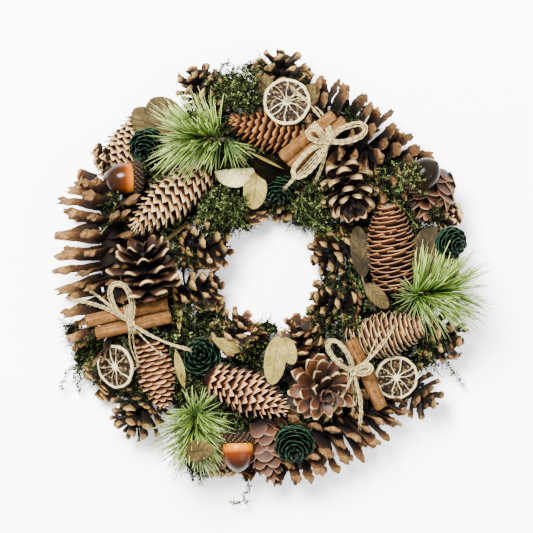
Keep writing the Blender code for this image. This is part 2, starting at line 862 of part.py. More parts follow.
# A leaf is an arched plate, folded a little at its midrib.
def leafMesh(base, tip, halfWidth):
    away = tip - base
    side = Vector((-away.y, away.x, 0)).normalized()
    up = side.cross(away).normalized()
    up *= math.copysign(1, up.z)
    points = []
    for share, wide in leafShape:
        centre = base + away * share + up * leafArch * math.sin(math.pi * share)
        fold = up * leafFold * wide
        points.append(centre + side * halfWidth * wide + fold)
        points.append(centre)
        points.append(centre - side * halfWidth * wide + fold)
    faces = []
    for i in range(len(leafShape) - 1):
        for j in (0, 1):
            corner = i * 3 + j
            faces.append((corner, corner + 1, corner + 4, corner + 3))
    helper = makeHelper("leaf", makeMesh("leaf", points, [], faces))
    plate = helper.modifiers.new("plate", "SOLIDIFY")
    plate.thickness = leafThickness
    plate.offset = 0
    return surfaceOf(helper)


# The leaves of a sprig are joined by the piece of stem that they grow from.
def addSprig(name, height, leaves):
    pieces = []
    bases = []
    for base, tip, halfWidth, rise in leaves:
        bases.append(place(base, height))
        pieces.append(leafMesh(bases[-1], place(tip, height + rise), halfWidth * mmPerPoint))
    if len(bases) > 1:
        overrun = (bases[-1] - bases[0]).normalized() * 2
        pieces.append(tube([bases[0] - overrun, bases[-1] + overrun], sprigRadius))
    points, faces = fused(pieces)
    addNode(name, "leaf", moved(points, settle(points, faces, down)), faces)


def build():
    random.seed(mossSeed)
    addRing()
    for row in largeList:
        reserveCore(*row)
    for row in coneList:
        addScaly(*row)
    for row in openList:
        reserveCore(*row)
    for row in lowLeaves:
        addSprig(*row)
    for row in greenList:
        addScaly(*row)
    for row in acornList:
        addAcorn(*row)
    for row in sliceList:
        addSlice(*row)
    for plan in bundleList:
        addBundle(plan)
    for row in openList + largeList:
        addScaly(*row)
    for row in highLeaves:
        addSprig(*row)
    for row in sprayList:
        reserveCore(*row)
        addScaly(*row)
    for row in mossList:
        addMoss(*row)


clearScene()
wreath = makeCollection("pinecone_wreath", False)
cutters = makeCollection("cutters", True)
build()
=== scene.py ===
import math
import random

import bpy
import numpy as np
from mathutils import Matrix, Vector
from mathutils.bvhtree import BVHTree


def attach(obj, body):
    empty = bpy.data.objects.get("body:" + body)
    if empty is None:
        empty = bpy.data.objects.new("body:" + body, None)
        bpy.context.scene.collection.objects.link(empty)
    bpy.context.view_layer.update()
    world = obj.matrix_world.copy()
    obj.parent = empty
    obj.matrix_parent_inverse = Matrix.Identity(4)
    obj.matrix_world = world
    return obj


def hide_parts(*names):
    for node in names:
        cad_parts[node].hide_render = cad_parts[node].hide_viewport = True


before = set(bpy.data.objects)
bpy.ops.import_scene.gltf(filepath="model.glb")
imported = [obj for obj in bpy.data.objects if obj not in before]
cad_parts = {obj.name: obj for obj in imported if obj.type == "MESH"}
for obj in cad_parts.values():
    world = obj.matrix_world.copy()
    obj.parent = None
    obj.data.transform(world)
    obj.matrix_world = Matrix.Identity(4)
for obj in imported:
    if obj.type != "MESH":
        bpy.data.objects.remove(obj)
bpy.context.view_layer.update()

# Millimetres and degrees, with places read in picture points of the reference view.
mmPerPoint = 0.86
middleX = 271.0
middleY = 269.0
imageSide = 533
metres = 0.001
down = Vector((0, 0, -1))
skyHeight = 400.0

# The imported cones' lattice: rings, tiles in a ring, core share, then body, reach and lean in degrees at base,
# middle and tip, and the width of a tile's end.
kindParts = ("rings", "count", "core", "profile", "reach", "lean", "endWide")
kinds = {name: dict(zip(kindParts, row)) for name, row in {
    "large": (11, 6, 0.21, (0.8, 1.0, 0.5), (0.84, 1.0, 0.74), (-20, 6, 46), 5.4),
    "open": (7, 6, 0.2, (0.9, 1.0, 0.6), (0.8, 1.0, 0.6), (-12, 20, 66), 6.2),
    "small": (6, 6, 0.2, (0.9, 1.0, 0.7), (0.8, 1.0, 0.7), (-16, 20, 60), 5.2),
    "long": (11, 9, 0.84, (0.74, 1.0, 0.42), (0.9, 1.0, 0.8), (38, 48, 62), 0.0),
    "smooth": (6, 6, 0.66, (0.8, 1.0, 0.5), (1.0, 1.0, 0.9), (40, 48, 60), 5.8),
    "green": (7, 8, 0.7, (0.75, 1.0, 0.5), (0.9, 1.0, 0.9), (24, 46, 72), 0.0),
    "spray": (11, 5, 0.045, (1.0, 1.0, 0.8), (0.8, 1.0, 0.9), (8, 34, 62), 0.0),
}.items()}


# Rows with the name of each one's CAD node put first.
def numbered(stem, rows):
    return [(stem + "_" + str(i + 1), *row) for i, row in enumerate(rows)]


# Kind, middle point, heading in picture points, tilt up, length, radius, look.
coneList = numbered("long_cone", (
    ("long", (167.5, 201), (-75, 62), 0, 84, 21.5, "cream"),
    ("long", (269, 130), (-79, -22), 3, 74, 19.5, "tan"),
    ("long", (391, 248), (-8, -90), 10, 78, 22, "russet"),
    ("long", (385, 335), (79, -20), 12, 72, 19.5, "bowls"),
    ("long", (250, 394), (80, 36), -2, 76, 20.5, "rose"),
    ("long", (156, 375), (17, 72), -4, 62, 17.5, "pink"),
    ("long", (120, 149), (-38, 54), 0, 62, 18, "cream"),
    ("long", (446, 250), (-5, -70), 0, 62, 16, "cream"),
)) + numbered("smooth_cone", (
    ("smooth", (431, 199), (-14, 40), 14, 44, 21, "smooth"),
    ("smooth", (268, 456), (8, 50), -6, 48, 17.5, "smooth"),
    ("smooth", (220, 455), (50, 20), 0, 42, 18, "smooth"),
)) + numbered("green_cone", (
    ("green", (147, 147), (-6, 12), 62, 27, 17.5, "green"),
    ("green", (279, 190), (-3, 20), 40, 30, 15, "green"),
    ("green", (452, 243), (8, 4), 58, 24, 15, "green"),
    ("green", (202, 357), (-6, -10), 72, 26, 18, "green"),
    ("green", (294, 445), (1, 16), 58, 28, 18.5, "green"),
))
openList = numbered("open_cone", (
    ("open", (348, 190), (10, 34), 42, 42, 27, "pads"),
    ("open", (146, 272), (-6, -40), 14, 46, 33, "umbrella"),
    ("open", (322, 388), (5, 8), 70, 38, 31, "warm"),
    ("small", (205, 246), (40, 8), 16, 38, 23, "stubs"),
    ("small", (233, 334), (20, -24), 24, 36, 22, "warmDark"),
    ("small", (301, 340), (-4, -30), 44, 34, 22, "warmDark"),
    ("small", (337, 303), (-40, -12), 10, 40, 24, "stubs"),
    ("small", (196, 288), (40, -6), 12, 38, 24, "stubs"),
    ("open", (141, 410), (-20, 24), 8, 44, 27, "stubs"),
    ("small", (281, 77), (2, -40), 12, 42, 25, "stubs"),
    ("small", (203, 92), (-18, -34), 14, 42, 23, "stubs"),
    ("small", (437, 334), (46, 18), 8, 42, 25, "stubs"),
    ("small", (415, 391), (30, 26), 4, 40, 24, "stubs"),
    ("small", (337, 254), (-38, 10), 8, 40, 24, "stubs"),
    ("small", (286, 199), (3, 30), 0, 38, 18, "stubs"),
))
largeList = numbered("large_cone", (
    ("large", (111, 266), (2, 130), 0, 144, 53, "plank"),
    ("large", (359, 146), (112, 78), 0, 118, 44, "darkPlank"),
    ("large", (342, 424), (104, -56), 0, 114, 40, "darkPlank"),
))
sprayList = numbered("needle_spray", (
    ("spray", (206, 139), (-30, -2), 10, 32, 38, "needles"),
    ("spray", (428, 293), (46, -8), 6, 32, 42, "needles"),
    ("spray", (195, 424), (-2, 34), 6, 32, 36, "needles"),
))


def place(point, height=0.0):
    return Vector(((point[0] - middleX) * mmPerPoint, (middleY - point[1]) * mmPerPoint, height))


# A place in a patch round a middle, with half sizes in points.
def placeIn(middle, size, share, angle, height=0.0):
    return place((middle[0] + size[0] * share * math.cos(angle), middle[1] + size[1] * share * math.sin(angle)),
                 height)


def between(values, share):
    return float(np.interp(share, (0.0, 0.5, 1.0), values))


def flatRay(angle):
    return Vector((math.cos(angle), math.sin(angle), 0))


def leftOf(way):
    return Vector((-way.y, way.x, 0))


def leaning(out, angle):
    return out * math.cos(angle) + Vector((0, 0, math.sin(angle)))


def headingOf(heading, tilt):
    return leaning(Vector((heading[0], -heading[1], 0)).normalized(), math.radians(tilt))


def frameAlong(start, direction):
    turn = direction.to_track_quat("Z", "Y").to_matrix().to_4x4()
    return Matrix.Translation(start) @ turn


def placedBy(matrix, points):
    turn = np.array(matrix)
    return points @ turn[:3, :3].T + turn[:3, 3]


def unitRows(vectors):
    return vectors / (np.linalg.norm(vectors, axis=1)[:, None] + 1e-9)


# Draws across first, then up where a range is given.
def scatter(rng, flat, *rise):
    return rng.uniform(-flat, flat), rng.uniform(-flat, flat), rng.uniform(*rise) if rise else 0


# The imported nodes, read once: their corners in millimetres and a tree for rays.
def readNodes():
    corners = {}
    trees = {}
    for name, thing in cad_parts.items():
        values = np.empty(len(thing.data.vertices) * 3)
        thing.data.vertices.foreach_get("co", values)
        values = values.reshape(-1, 3) / metres
        corners[name] = values
        faces = [tuple(p.vertices) for p in thing.data.polygons]
        trees[name] = BVHTree.FromPolygons(values.tolist(), faces)
    return corners, trees


nodeCorners, nodeTrees = readNodes()


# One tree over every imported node, for what is laid on them.
def joinNodes():
    corners, faces, owners = [], [], []
    first = 0
    for name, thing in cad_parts.items():
        values = nodeCorners[name]
        corners.extend(values.tolist())
        for polygon in thing.data.polygons:
            faces.append(tuple(i + first for i in polygon.vertices))
            owners.append(name)
        first += len(values)
    return BVHTree.FromPolygons(corners, faces), owners


allNodes, faceOwners = joinNodes()


# What lies highest under a spot: its point, normal and node name.
def under(x, y):
    spot, normal, index, _ = allNodes.ray_cast(Vector((x, y, skyHeight)), down)
    if spot is None:
        return Vector((x, y, 0.0)), Vector((0, 0, 1)), ""
    return spot, normal, faceOwners[index]


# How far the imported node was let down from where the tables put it: most of its corners agree.
def liftOf(name, points):
    wanted = np.array([tuple(p) for p in points])
    real = nodeCorners[name]
    gaps = wanted[:, None, :2] - real[None, :, :2]
    near = np.hypot(gaps[..., 0], gaps[..., 1]) < 0.03
    lifts = (real[None, :, 2] - wanted[:, None, 2])[near]
    if len(lifts) == 0:
        print("no corner of", name, "agrees")
        return real[:, 2].mean() - wanted[:, 2].mean()
    rounded = np.round(lifts, 1)
    values, counts = np.unique(rounded, return_counts=True)
    best = values[counts.argmax()]
    return float(np.median(lifts[abs(lifts - best) < 0.1]))


def latticePoints(kind, length, radius):
    points = []
    for ring in range(kind["rings"]):
        share = (ring + 0.5) / kind["rings"]
        wide = radius * kind["core"] * between(kind["profile"], share)
        for k in range(kind["count"]):
            angle = 2 * math.pi * (k + 0.5 * (ring % 2)) / kind["count"]
            points.append(Vector((wide * math.cos(angle), wide * math.sin(angle), share * length)))
    return points


def seated(name, matrix, points):
    return Matrix.Translation((0, 0, liftOf(name, [matrix @ p for p in points]))) @ matrix


def coneFrame(row):
    name, kindName, point, heading, tilt, length, radius, _ = row
    ahead = headingOf(heading, tilt)
    matrix = frameAlong(place(point, 0.0) - ahead * length / 2, ahead)
    return seated(name, matrix, latticePoints(kinds[kindName], length, radius))


# Scales get smaller towards a cone's tip.
def smallAt(along):
    return 0.55 + 0.45 * min(1.0, (1.1 - along) * 1.6)


# Where each scale of an open cone starts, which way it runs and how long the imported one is.
def packedScales(row, matrix):
    name, kindName, *_, length, radius, _ = row
    kind = kinds[kindName]
    count = kind["count"]
    points = latticePoints(kind, length, radius)
    real = placedBy(matrix.inverted(), nodeCorners[name])
    scales = []
    for ring in range(1, kind["rings"] - 1):
        odd = ring % 2
        for k in range(count):
            tile = ((ring - 1) * count + (k + odd) % count, ring * count + (k + 1) % count,
                    (ring + 1) * count + (k + odd) % count, ring * count + k)
            middle = sum((points[i] for i in tile), Vector()) / 4
            along = middle.z / length
            out = flatRay(math.atan2(middle.y, middle.x))
            side = leftOf(out)
            ahead = leaning(out, math.radians(between(kind["lean"], along)))
            gaps = real - np.array(middle + side * kind["endWide"] * smallAt(along))
            far = gaps @ np.array(ahead)
            beside = np.linalg.norm(gaps - far[:, None] * np.array(ahead), axis=1)
            hits = far[(beside < 0.05) & (far > 0.5)]
            if len(hits):
                scales.append({"middle": middle, "out": out, "side": side, "ahead": ahead,
                               "far": float(hits.max()), "along": along, "small": smallAt(along)})
    return scales


# A bag gathers the points, faces and paint of one piece. Paint holds reach, rim, tone and face, which is 1 on a
# plate's upper side.
def newBag():
    return {"points": [], "faces": [], "paint": [], "slots": [], "count": 0}


def pour(bag, points, quads, paint, slot=0, caps=()):
    first = bag["count"]
    bag["points"].append(points)
    bag["faces"].extend((np.asarray(quads) + first).tolist())
    bag["faces"].extend([[i + first for i in face] for face in caps])
    bag["paint"].append(paint)
    bag["slots"].extend([slot] * (len(quads) + len(caps)))
    bag["count"] += len(points)


def paintOf(count, reach=0.5, rim=0.0, tone=0.5, spare=0.0):
    paint = np.empty((count, 4))
    paint[:, 0] = reach
    paint[:, 1] = rim
    paint[:, 2] = tone
    paint[:, 3] = spare
    return paint


def addObject(name, data):
    thing = bpy.data.objects.new(name, data)
    bpy.context.scene.collection.objects.link(thing)
    return thing


def makePiece(name, bag, materials, replaced, smooth=True, crease=None):
    mesh = bpy.data.meshes.new(name)
    points = np.concatenate(bag["points"]) * metres
    mesh.from_pydata(points.tolist(), [], bag["faces"])
    paint = mesh.attributes.new("paint", "FLOAT_COLOR", "POINT")
    paint.data.foreach_set("color", np.concatenate(bag["paint"]).ravel())
    mesh.polygons.foreach_set("use_smooth", [smooth] * len(mesh.polygons))
    mesh.polygons.foreach_set("material_index", bag["slots"])
    for material in materials:
        mesh.materials.append(material)
    mesh.update()
    if crease:
        mesh.set_sharp_from_angle(angle=math.radians(crease))
    thing = addObject(name, mesh)
    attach(thing, "root")
    if replaced:
        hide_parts(*replaced)


# Quads round a tube of rings.
def ringQuads(rings, count):
    quads = []
    for i in range(rings - 1):
        for k in range(count):
            a, b = i * count + k, i * count + (k + 1) % count
            quads.append((a, b, b + count, a + count))
    return quads


# Quads on both faces of a sheet: a grid of points on top, then the same grid below.
def sheetQuads(rows, columns, closed=False):
    quads = []
    size = rows * columns
    for i in range(rows - 1):
        for k in range(columns if closed else columns - 1):
            a, b = i * columns + k, i * columns + (k + 1) % columns
            quads.append((a, a + columns, b + columns, b))
            quads.append((size + b, size + b + columns, size + a + columns, size + a))
    return quads


# Values that most forms share: keel is 1 for a ridged section, bow rounds the free end.
usualForm = {
    "thick": ((0, 1), (0.8, 0.9), (1, 0.6)),
    "lift": ((0, 0), (0.5, -0.04), (0.85, 0), (1, 0.05)),
    "cup": ((0, -0.1), (0.6, -0.26), (1, -0.34)),
    "columns": 7, "keel": 0, "thinEdge": 0.9, "bowPower": 2,
}

# A thin plate with a grid on both faces. The form gives its width, thickness and bend along it.
def plateForm(own):
    form = {**usualForm, **own}
    along = np.array(form["along"])[:, None]
    across = np.linspace(-1, 1, form["columns"])[None, :]
    wide, thick, lift, cup = (np.interp(along, *zip(*form[key])) for key in ("wide", "thick", "lift", "cup"))
    edge = ((1 - form["keel"]) * np.sqrt(1 - (form["thinEdge"] * across) ** 2)
            + form["keel"] * (1 - 0.85 * abs(across)))
    bow = 1 - form["bow"] * abs(across) ** form["bowPower"]
    top = {
        "x": along * bow, "y": across * wide, "lift": lift + 0 * across,
        "cup": cup * across ** 2, "thick": thick * edge / 2, "across": across + 0 * along,
    }
    rows, columns = len(along), form["columns"]
    grid = {key: np.tile(value.ravel(), 2) for key, value in top.items()}
    size = rows * columns
    grid["thick"][size:] *= -1
    quads = sheetQuads(rows, columns)
    for i in range(rows - 1):
        a = i * columns
        quads.append((a, size + a, size + a + columns, a + columns))
        a += columns - 1
        quads.append((a + columns, size + a + columns, size + a, a))
    for j in range(columns - 1):
        quads.append((j + 1, size + j + 1, size + j, j))
        a = (rows - 1) * columns + j
        quads.append((a, size + a, size + a + 1, a + 1))
    reach = np.tile((along + 0 * across).ravel(), 2)
    return {"grid": grid, "quads": np.array(quads), "reach": reach, "rim": abs(grid["across"]),
            "face": np.repeat((1.0, 0.0), size)}


# One scale: its plan's form on axes of its own, with a torn end and creases.
def layPlate(bag, plan, start, axes, length, wide, rng, matrix=Matrix(), thick=1.0, crumple=1.0, worn=1.0,
             ragged=1.0):
    plate = plan["form"]
    grid = plate["grid"]
    tone = rng.random()
    x = grid["x"] * length
    y = grid["y"] * wide
    body = grid["thick"] * (plan["thick"] * thick)
    ragged *= plan.get("ragged", 0.0)
    if ragged:
        a, b, c, d = (rng.uniform(0, 6.28) for _ in range(4))
        across = grid["across"]
        notch = np.sin(3.5 * across + a) + 0.7 * np.sin(8 * across + b) - 0.9
        x = x + ragged * notch * grid["x"] ** 6
        y = y * (1 + 0.06 * np.sin(15 * grid["x"] + c) + 0.05 * np.sin(29 * grid["x"] + d))
        ridge = np.sin(24 * grid["x"] + 1.8 * across + c) + 0.8 * np.sin(43 * grid["x"] - 2.6 * across + d)
        body = body * (1 + 0.3 * ridge * np.clip(3 * grid["x"] - 1.2, 0, 1))
    z = grid["lift"] * length + grid["cup"] * wide + body
    # Creases and waves of its own, stronger towards the free end.
    for _ in range(3):
        a, b, phase = rng.uniform(3, 16), rng.uniform(-3, 3), rng.uniform(0, 6.28)
        wave = np.sin(a * grid["x"] + b * grid["y"] + phase)
        wave = np.arcsin(wave) / 1.57 if plan.get("angular") else wave
        wave = wave * grid["x"] * (plan["crumple"] * crumple) * rng.uniform(0.3, 1.0)
        z = z + wave
        y = y + 0.5 * wave * np.sign(grid["y"])
    points = np.array(tuple(start)) + np.stack([x, y, z], axis=1) @ np.array([tuple(axis) for axis in axes])
    paint = np.stack([plate["reach"] * worn, plate["rim"], np.full(len(x), tone), plate["face"]], axis=1)
    pour(bag, placedBy(matrix, points), plate["quads"], paint)


# A closed body turned round a frame's Z axis, from pairs of height and radius.
def layTurned(bag, profile, count, matrix, reachRange, slot=0):
    angles = np.linspace(0, 2 * math.pi, count, endpoint=False)
    rings = [np.stack([radius * np.cos(angles), radius * np.sin(angles), np.full(count, height)], axis=1)
             for height, radius in profile]
    ends = np.array([[0, 0, profile[0][0]], [0, 0, profile[-1][0]]])
    points = np.concatenate(rings + [ends])
    low = len(points) - 2
    caps = []
    for k in range(count):
        n = (k + 1) % count
        caps += [(n, k, low), (low - count + k, low - count + n, low + 1)]
    reach = np.interp(points[:, 2], (profile[0][0], profile[-1][0]), reachRange)
    pour(bag, placedBy(matrix, points), ringQuads(len(profile), count), paintOf(len(points), reach), slot, caps)


# A round cord along a path, open rings closed by points at both ends.
def layTube(bag, path, radii, sides, tone, slot=0, reachRange=(0.0, 1.0)):
    path = np.asarray(path, float)
    count = len(path)
    radii = np.broadcast_to(np.asarray(radii, float), (count,))
    ahead = unitRows(np.gradient(path, axis=0))
    across = np.empty_like(path)
    last = np.array(Vector(ahead[0]).orthogonal().normalized())
    for i in range(count):
        last = last - ahead[i] * (last @ ahead[i])
        last /= np.linalg.norm(last) + 1e-9
        across[i] = last
    other = np.cross(ahead, across)
    angles = np.linspace(0, 2 * math.pi, sides, endpoint=False)
    ring = (across[:, None, :] * np.cos(angles)[None, :, None]
            + other[:, None, :] * np.sin(angles)[None, :, None]) * radii[:, None, None]
    points = np.concatenate([(path[:, None, :] + ring).reshape(-1, 3), path[:1], path[-1:]])
    k = np.arange(sides)
    n = (k + 1) % sides
    base = (np.arange(count - 1) * sides)[:, None]
    quads = np.stack([base + k, base + n, base + sides + n, base + sides + k], axis=2).reshape(-1, 4)
    reach = np.concatenate([np.repeat(np.linspace(*reachRange, count), sides), reachRange])
    low = count * sides
    caps = [((i + 1) % sides, i, low) for i in range(sides)]
    caps += [(low - sides + i, low - sides + (i + 1) % sides, low + 1) for i in range(sides)]
    pour(bag, points, quads, paintOf(len(points), reach, 0.0, tone), slot, caps)


# Colours are written as sRGB hex and turned to linear here.
def linear(code):
    parts = [int(code[i:i + 2], 16) / 255 for i in (1, 3, 5)]
    return tuple(p / 12.92 if p < 0.04045 else ((p + 0.055) / 1.055) ** 2.4 for p in parts) + (1,)


def addShader(tree, kind, settings, links):
    node = tree.nodes.new("ShaderNode" + kind)
    for key, value in settings.items():
        if key == "stops":
            ramp = node.color_ramp
            while len(ramp.elements) < len(value):
                ramp.elements.new(0.5)
            for element, (spot, colour) in zip(ramp.elements, value):
                element.position = spot
                element.color = linear(colour)
        elif isinstance(key, int) or key in node.inputs:
            node.inputs[key].default_value = value
        else:
            setattr(node, key, value)
    for key, source in links.items():
        tree.links.new(source, node.inputs[key])
    return node


# What every material can start from: the paint's parts and the place on the object.
def startOutputs(tree):
    paint = addShader(tree, "Attribute", {"attribute_name": "paint"}, {}).outputs
    parts = addShader(tree, "SeparateColor", {}, {0: paint["Color"]}).outputs
    spots = addShader(tree, "TexCoord", {}, {}).outputs
    return {"paint": paint["Vector"], "face": paint["Alpha"], "reach": parts[0], "rim": parts[1],
            "tone": parts[2], "object": spots["Object"]}


# A material from rows of nodes: name, kind, settings, and links from the rows before. A row named after a
# socket of the shader feeds it. Places are in metres, so a pattern's Scale of 500 makes it about 2 mm wide.
def newMaterial(name, settings, rows=()):
    material = bpy.data.materials.new(name)
    material.use_nodes = True
    tree = material.node_tree
    shader = tree.nodes["Principled BSDF"]
    for key, value in settings.items():
        shader.inputs[key].default_value = value
    made = startOutputs(tree) if rows else {}
    for key, kind, values, links in rows:
        node = addShader(tree, kind, values, {socket: made[source] for socket, source in links.items()})
        made[key] = node.outputs[2 if values.get("data_type") == "RGBA" else 0]
        if key in shader.inputs:
            tree.links.new(made[key], shader.inputs[key])
    return material


# Woody scale: a ramp to its end from a root painted near black as shade, with fibres along it and an edge line.
def scaleMaterial(name, look):
    settings = {"Roughness": look["roughness"], "IOR": 1.5, "Specular IOR Level": look["shine"]}
    grain = {"Scale": look["grainScale"], "Detail": 5.0, "Roughness": 0.7}
    return newMaterial(name, settings, (
        ("grain", "TexNoise", grain, {"Vector": "object"}),
        # Fibres run along each scale and differ from one scale to the next.
        ("stretch", "VectorMath", {"operation": "MULTIPLY", 1: (2.2, 7.0, 60.0)}, {0: "paint"}),
        ("fibre", "TexNoise", {"Scale": 1.6, "Detail": 4.0, "Roughness": 0.6}, {"Vector": "stretch"}),
        # The boundary of each zone wanders with the grain.
        ("wander", "Math", {"operation": "MULTIPLY_ADD", 1: look["wander"]}, {0: "grain", 2: "reach"}),
        ("shift", "Math", {"operation": "SUBTRACT", 1: look["wander"] / 2}, {0: "wander"}),
        # The ramp's near-black root is painted shade in the depth between the scales.
        ("zones", "ValToRGB", {"stops": look["stops"]}, {0: "shift"}),
        # Near the end the edges take the look's edge colour: where it is darker, a painted shadow line; on the
        # green look, a painted highlight.
        ("rimLine", "Math", {"operation": "POWER", 1: look["rimPower"]}, {0: "rim"}),
        ("rimEnd", "Math", {"operation": "MULTIPLY"}, {0: "rimLine", 1: "reach"}),
        ("rimPart", "Math", {"operation": "MULTIPLY", 1: look["rimShare"]}, {0: "rimEnd"}),
        ("rimmed", "Mix", {"data_type": "RGBA", 7: linear(look["rim"])}, {0: "rimPart", 6: "zones"}),
        ("fibrous", "MapRange", {1: 0.3, 2: 0.7, 3: look["darkest"], 4: look["lightest"]}, {0: "fibre"}),
        ("mottled", "MapRange", {1: 0.3, 2: 0.7, 3: 0.8, 4: 1.15}, {0: "grain"}),
        ("toned", "MapRange", {3: 0.72, 4: 1.2}, {0: "tone"}),
        # The underside of each scale stays darker than the upper one: painted shade under the scale.
        ("undersideShade", "MapRange", {3: look["undersideShade"], 4: 1.0}, {0: "face"}),
        ("fibreTone", "Math", {"operation": "MULTIPLY"}, {0: "fibrous", 1: "toned"}),
        ("grainTone", "Math", {"operation": "MULTIPLY"}, {0: "fibreTone", 1: "mottled"}),
        ("value", "Math", {"operation": "MULTIPLY"}, {0: "grainTone", 1: "undersideShade"}),
        ("Base Color", "HueSaturation", {}, {"Color": "rimmed", "Value": "value"}),
        ("relief", "Math", {"operation": "MULTIPLY_ADD", 1: 1.4}, {0: "fibre", 2: "grain"}),
        ("Normal", "Bump", {"Strength": look["bump"], "Distance": 0.0007}, {"Height": "relief"}),
    ))


# Values that most looks share; each look gives its own stops and rim, and what differs.
usualLook = {
    "rimShare": 0.85, "rimPower": 6, "grainScale": 700, "undersideShade": 0.4, "shine": 0.08, "wander": 0.08,
    "darkest": 0.75, "lightest": 1.2, "roughness": 0.7, "bump": 0.4,
}
paperyLook = {"rimPower": 4, "undersideShade": 0.12, "shine": 0.06, "lightest": 1.15}
scaleLooks = {
    # Weathered cone wood: tan and matt, painted dark brown as shade at the root and in the creases.
    "plank": {
        "stops": ((0.0, "#080301"), (0.4, "#190D05"), (0.57, "#362110"), (0.69, "#5C4124"), (0.84, "#775835"),
                  (1.0, "#6A4E2E")),
        "rim": "#402813", "rimShare": 0.45, "rimPower": 4, "grainScale": 320, "undersideShade": 0.42, "wander": 0.3,
        "darkest": 0.3, "lightest": 1.45, "roughness": 0.85, "bump": 1.0,
    },
    "darkPlank": {
        "stops": ((0.0, "#030101"), (0.5, "#0B0503"), (0.64, "#1F1008"), (0.74, "#3C2413"), (0.84, "#593E21"),
                  (1.0, "#674B2B")),
        "rim": "#6E5236", "rimShare": 0.3, "grainScale": 340, "wander": 0.2, "darkest": 0.4, "lightest": 1.35,
        "roughness": 0.8, "bump": 1.0,
    },
    # Dark open cones: painted nearly black inside as shade, with a pale worn pad at the end of each scale.
    "pads": {
        "stops": ((0.0, "#010000"), (0.6, "#090302"), (0.85, "#190C06"), (0.885, "#7E623A"), (1.0, "#88704A")),
        "rim": "#20120A", "grainScale": 600, "undersideShade": 0.35, "wander": 0.03, "darkest": 0.85,
        "lightest": 1.1, "bump": 0.3,
    },
    "umbrella": {
        "stops": ((0.0, "#020101"), (0.5, "#0C0503"), (0.85, "#24130A"), (0.93, "#382212"), (0.96, "#816840"),
                  (1.0, "#8C7852")),
        "rim": "#20120A", "rimPower": 3, "grainScale": 600, "undersideShade": 0.3, "wander": 0.04, "darkest": 0.65,
    },
    "stubs": {
        "stops": ((0.0, "#010000"), (0.5, "#090402"), (0.78, "#1C1007"), (0.87, "#3C2712"), (0.92, "#694E28"),
                  (1.0, "#81683C")),
        "rim": "#2A1A0C", "rimShare": 0.3, "rimPower": 5, "grainScale": 600, "wander": 0.07, "darkest": 0.6,
        "lightest": 1.25, "bump": 0.5,
    },
    "warmDark": {
        "stops": ((0.0, "#030101"), (0.5, "#110602"), (0.82, "#2E180A"), (0.91, "#6A4922"), (1.0, "#836A3F")),
        "rim": "#402813", "rimShare": 0.3, "grainScale": 600, "shine": 0.1, "darkest": 0.65, "roughness": 0.6,
        "bump": 0.5,
    },
    "warm": {
        "stops": ((0.0, "#060100"), (0.45, "#150701"), (0.75, "#361A08"), (0.92, "#50301A"), (0.965, "#7F6743"),
                  (1.0, "#8C7E5C")),
        "rim": "#7A5C3C", "rimShare": 0.4, "rimPower": 10, "grainScale": 480, "undersideShade": 0.5, "shine": 0.3,
        "darkest": 0.55, "lightest": 1.35, "roughness": 0.45, "bump": 0.5,
    },
    # Closed cones: thin papery scales, painted dark as shade where covered and along the edges of most, pale
    # towards the free edge.
    "cream": {
        "stops": ((0.0, "#050201"), (0.49, "#120702"), (0.59, "#573A1E"), (0.69, "#8E7048"), (0.94, "#A8946E"),
                  (1.0, "#866840")),
        "rim": "#2C1808", **paperyLook,
    },
    "pink": {
        "stops": ((0.0, "#060201"), (0.6, "#140702"), (0.71, "#381E0B"), (0.82, "#70492A"), (0.95, "#947353"),
                  (1.0, "#765A3E")),
        "rim": "#2E1406", **paperyLook, "rimPower": 5, "roughness": 0.65,
    },
    "rose": {
        "stops": ((0.0, "#060201"), (0.5, "#120602"), (0.61, "#4A2812"), (0.71, "#875F3C"), (0.94, "#A18060"),
                  (1.0, "#8A6F52")),
        "rim": "#2E1406", **paperyLook, "roughness": 0.65,
    },
    "tan": {
        "stops": ((0.0, "#050201"), (0.52, "#0C0401"), (0.64, "#381C08"), (0.75, "#6A4120"), (0.95, "#8A633C"),
                  (1.0, "#64401A")),
        "rim": "#1E0D03", **paperyLook, "lightest": 1.2, "darkest": 0.7, "roughness": 0.65,
    },
    "russet": {
        "stops": ((0.0, "#050101"), (0.55, "#120401"), (0.78, "#361403"), (0.9, "#552B0E"), (0.96, "#714826"),
                  (1.0, "#80603C")),
        "rim": "#6F441F", "rimShare": 0.35, "shine": 0.3, "wander": 0.05, "roughness": 0.5, "bump": 0.3,
    },
    "bowls": {
        "stops": ((0.0, "#060201"), (0.55, "#1B0B02"), (0.76, "#4A2C12"), (0.9, "#785732"), (1.0, "#88734F")),
        "rim": "#7F603D", "rimShare": 0.4, "shine": 0.3, "wander": 0.07, "lightest": 1.15, "roughness": 0.55,
        "bump": 0.3,
    },
    "smooth": {
        "stops": ((0.0, "#050201"), (0.4, "#100703"), (0.7, "#2A160C"), (0.9, "#3C2316"), (0.96, "#563A26"),
                  (1.0, "#70543C")),
        "rim": "#6A4D38", "rimShare": 0.4, "rimPower": 14, "grainScale": 400, "undersideShade": 0.3, "shine": 0.12,
        "wander": 0.05, "darkest": 0.7, "roughness": 0.6, "bump": 0.35,
    },
    # Dyed cones: dark green, painted near black as shade towards the root, with a painted highlight along each
    # edge.
    "green": {
        "stops": ((0.0, "#000100"), (0.6, "#010401"), (0.86, "#060D08"), (0.95, "#0B1B10"), (1.0, "#223F2A")),
        "rim": "#14291A", "rimShare": 0.5, "rimPower": 10, "grainScale": 500, "shine": 0.07, "darkest": 0.4,
        "lightest": 1.6, "roughness": 0.4, "bump": 0.3,
    },
}
scaleMaterials = {look: scaleMaterial("cone_scale_" + look, {**usualLook, **values})
                  for look, values in scaleLooks.items()}

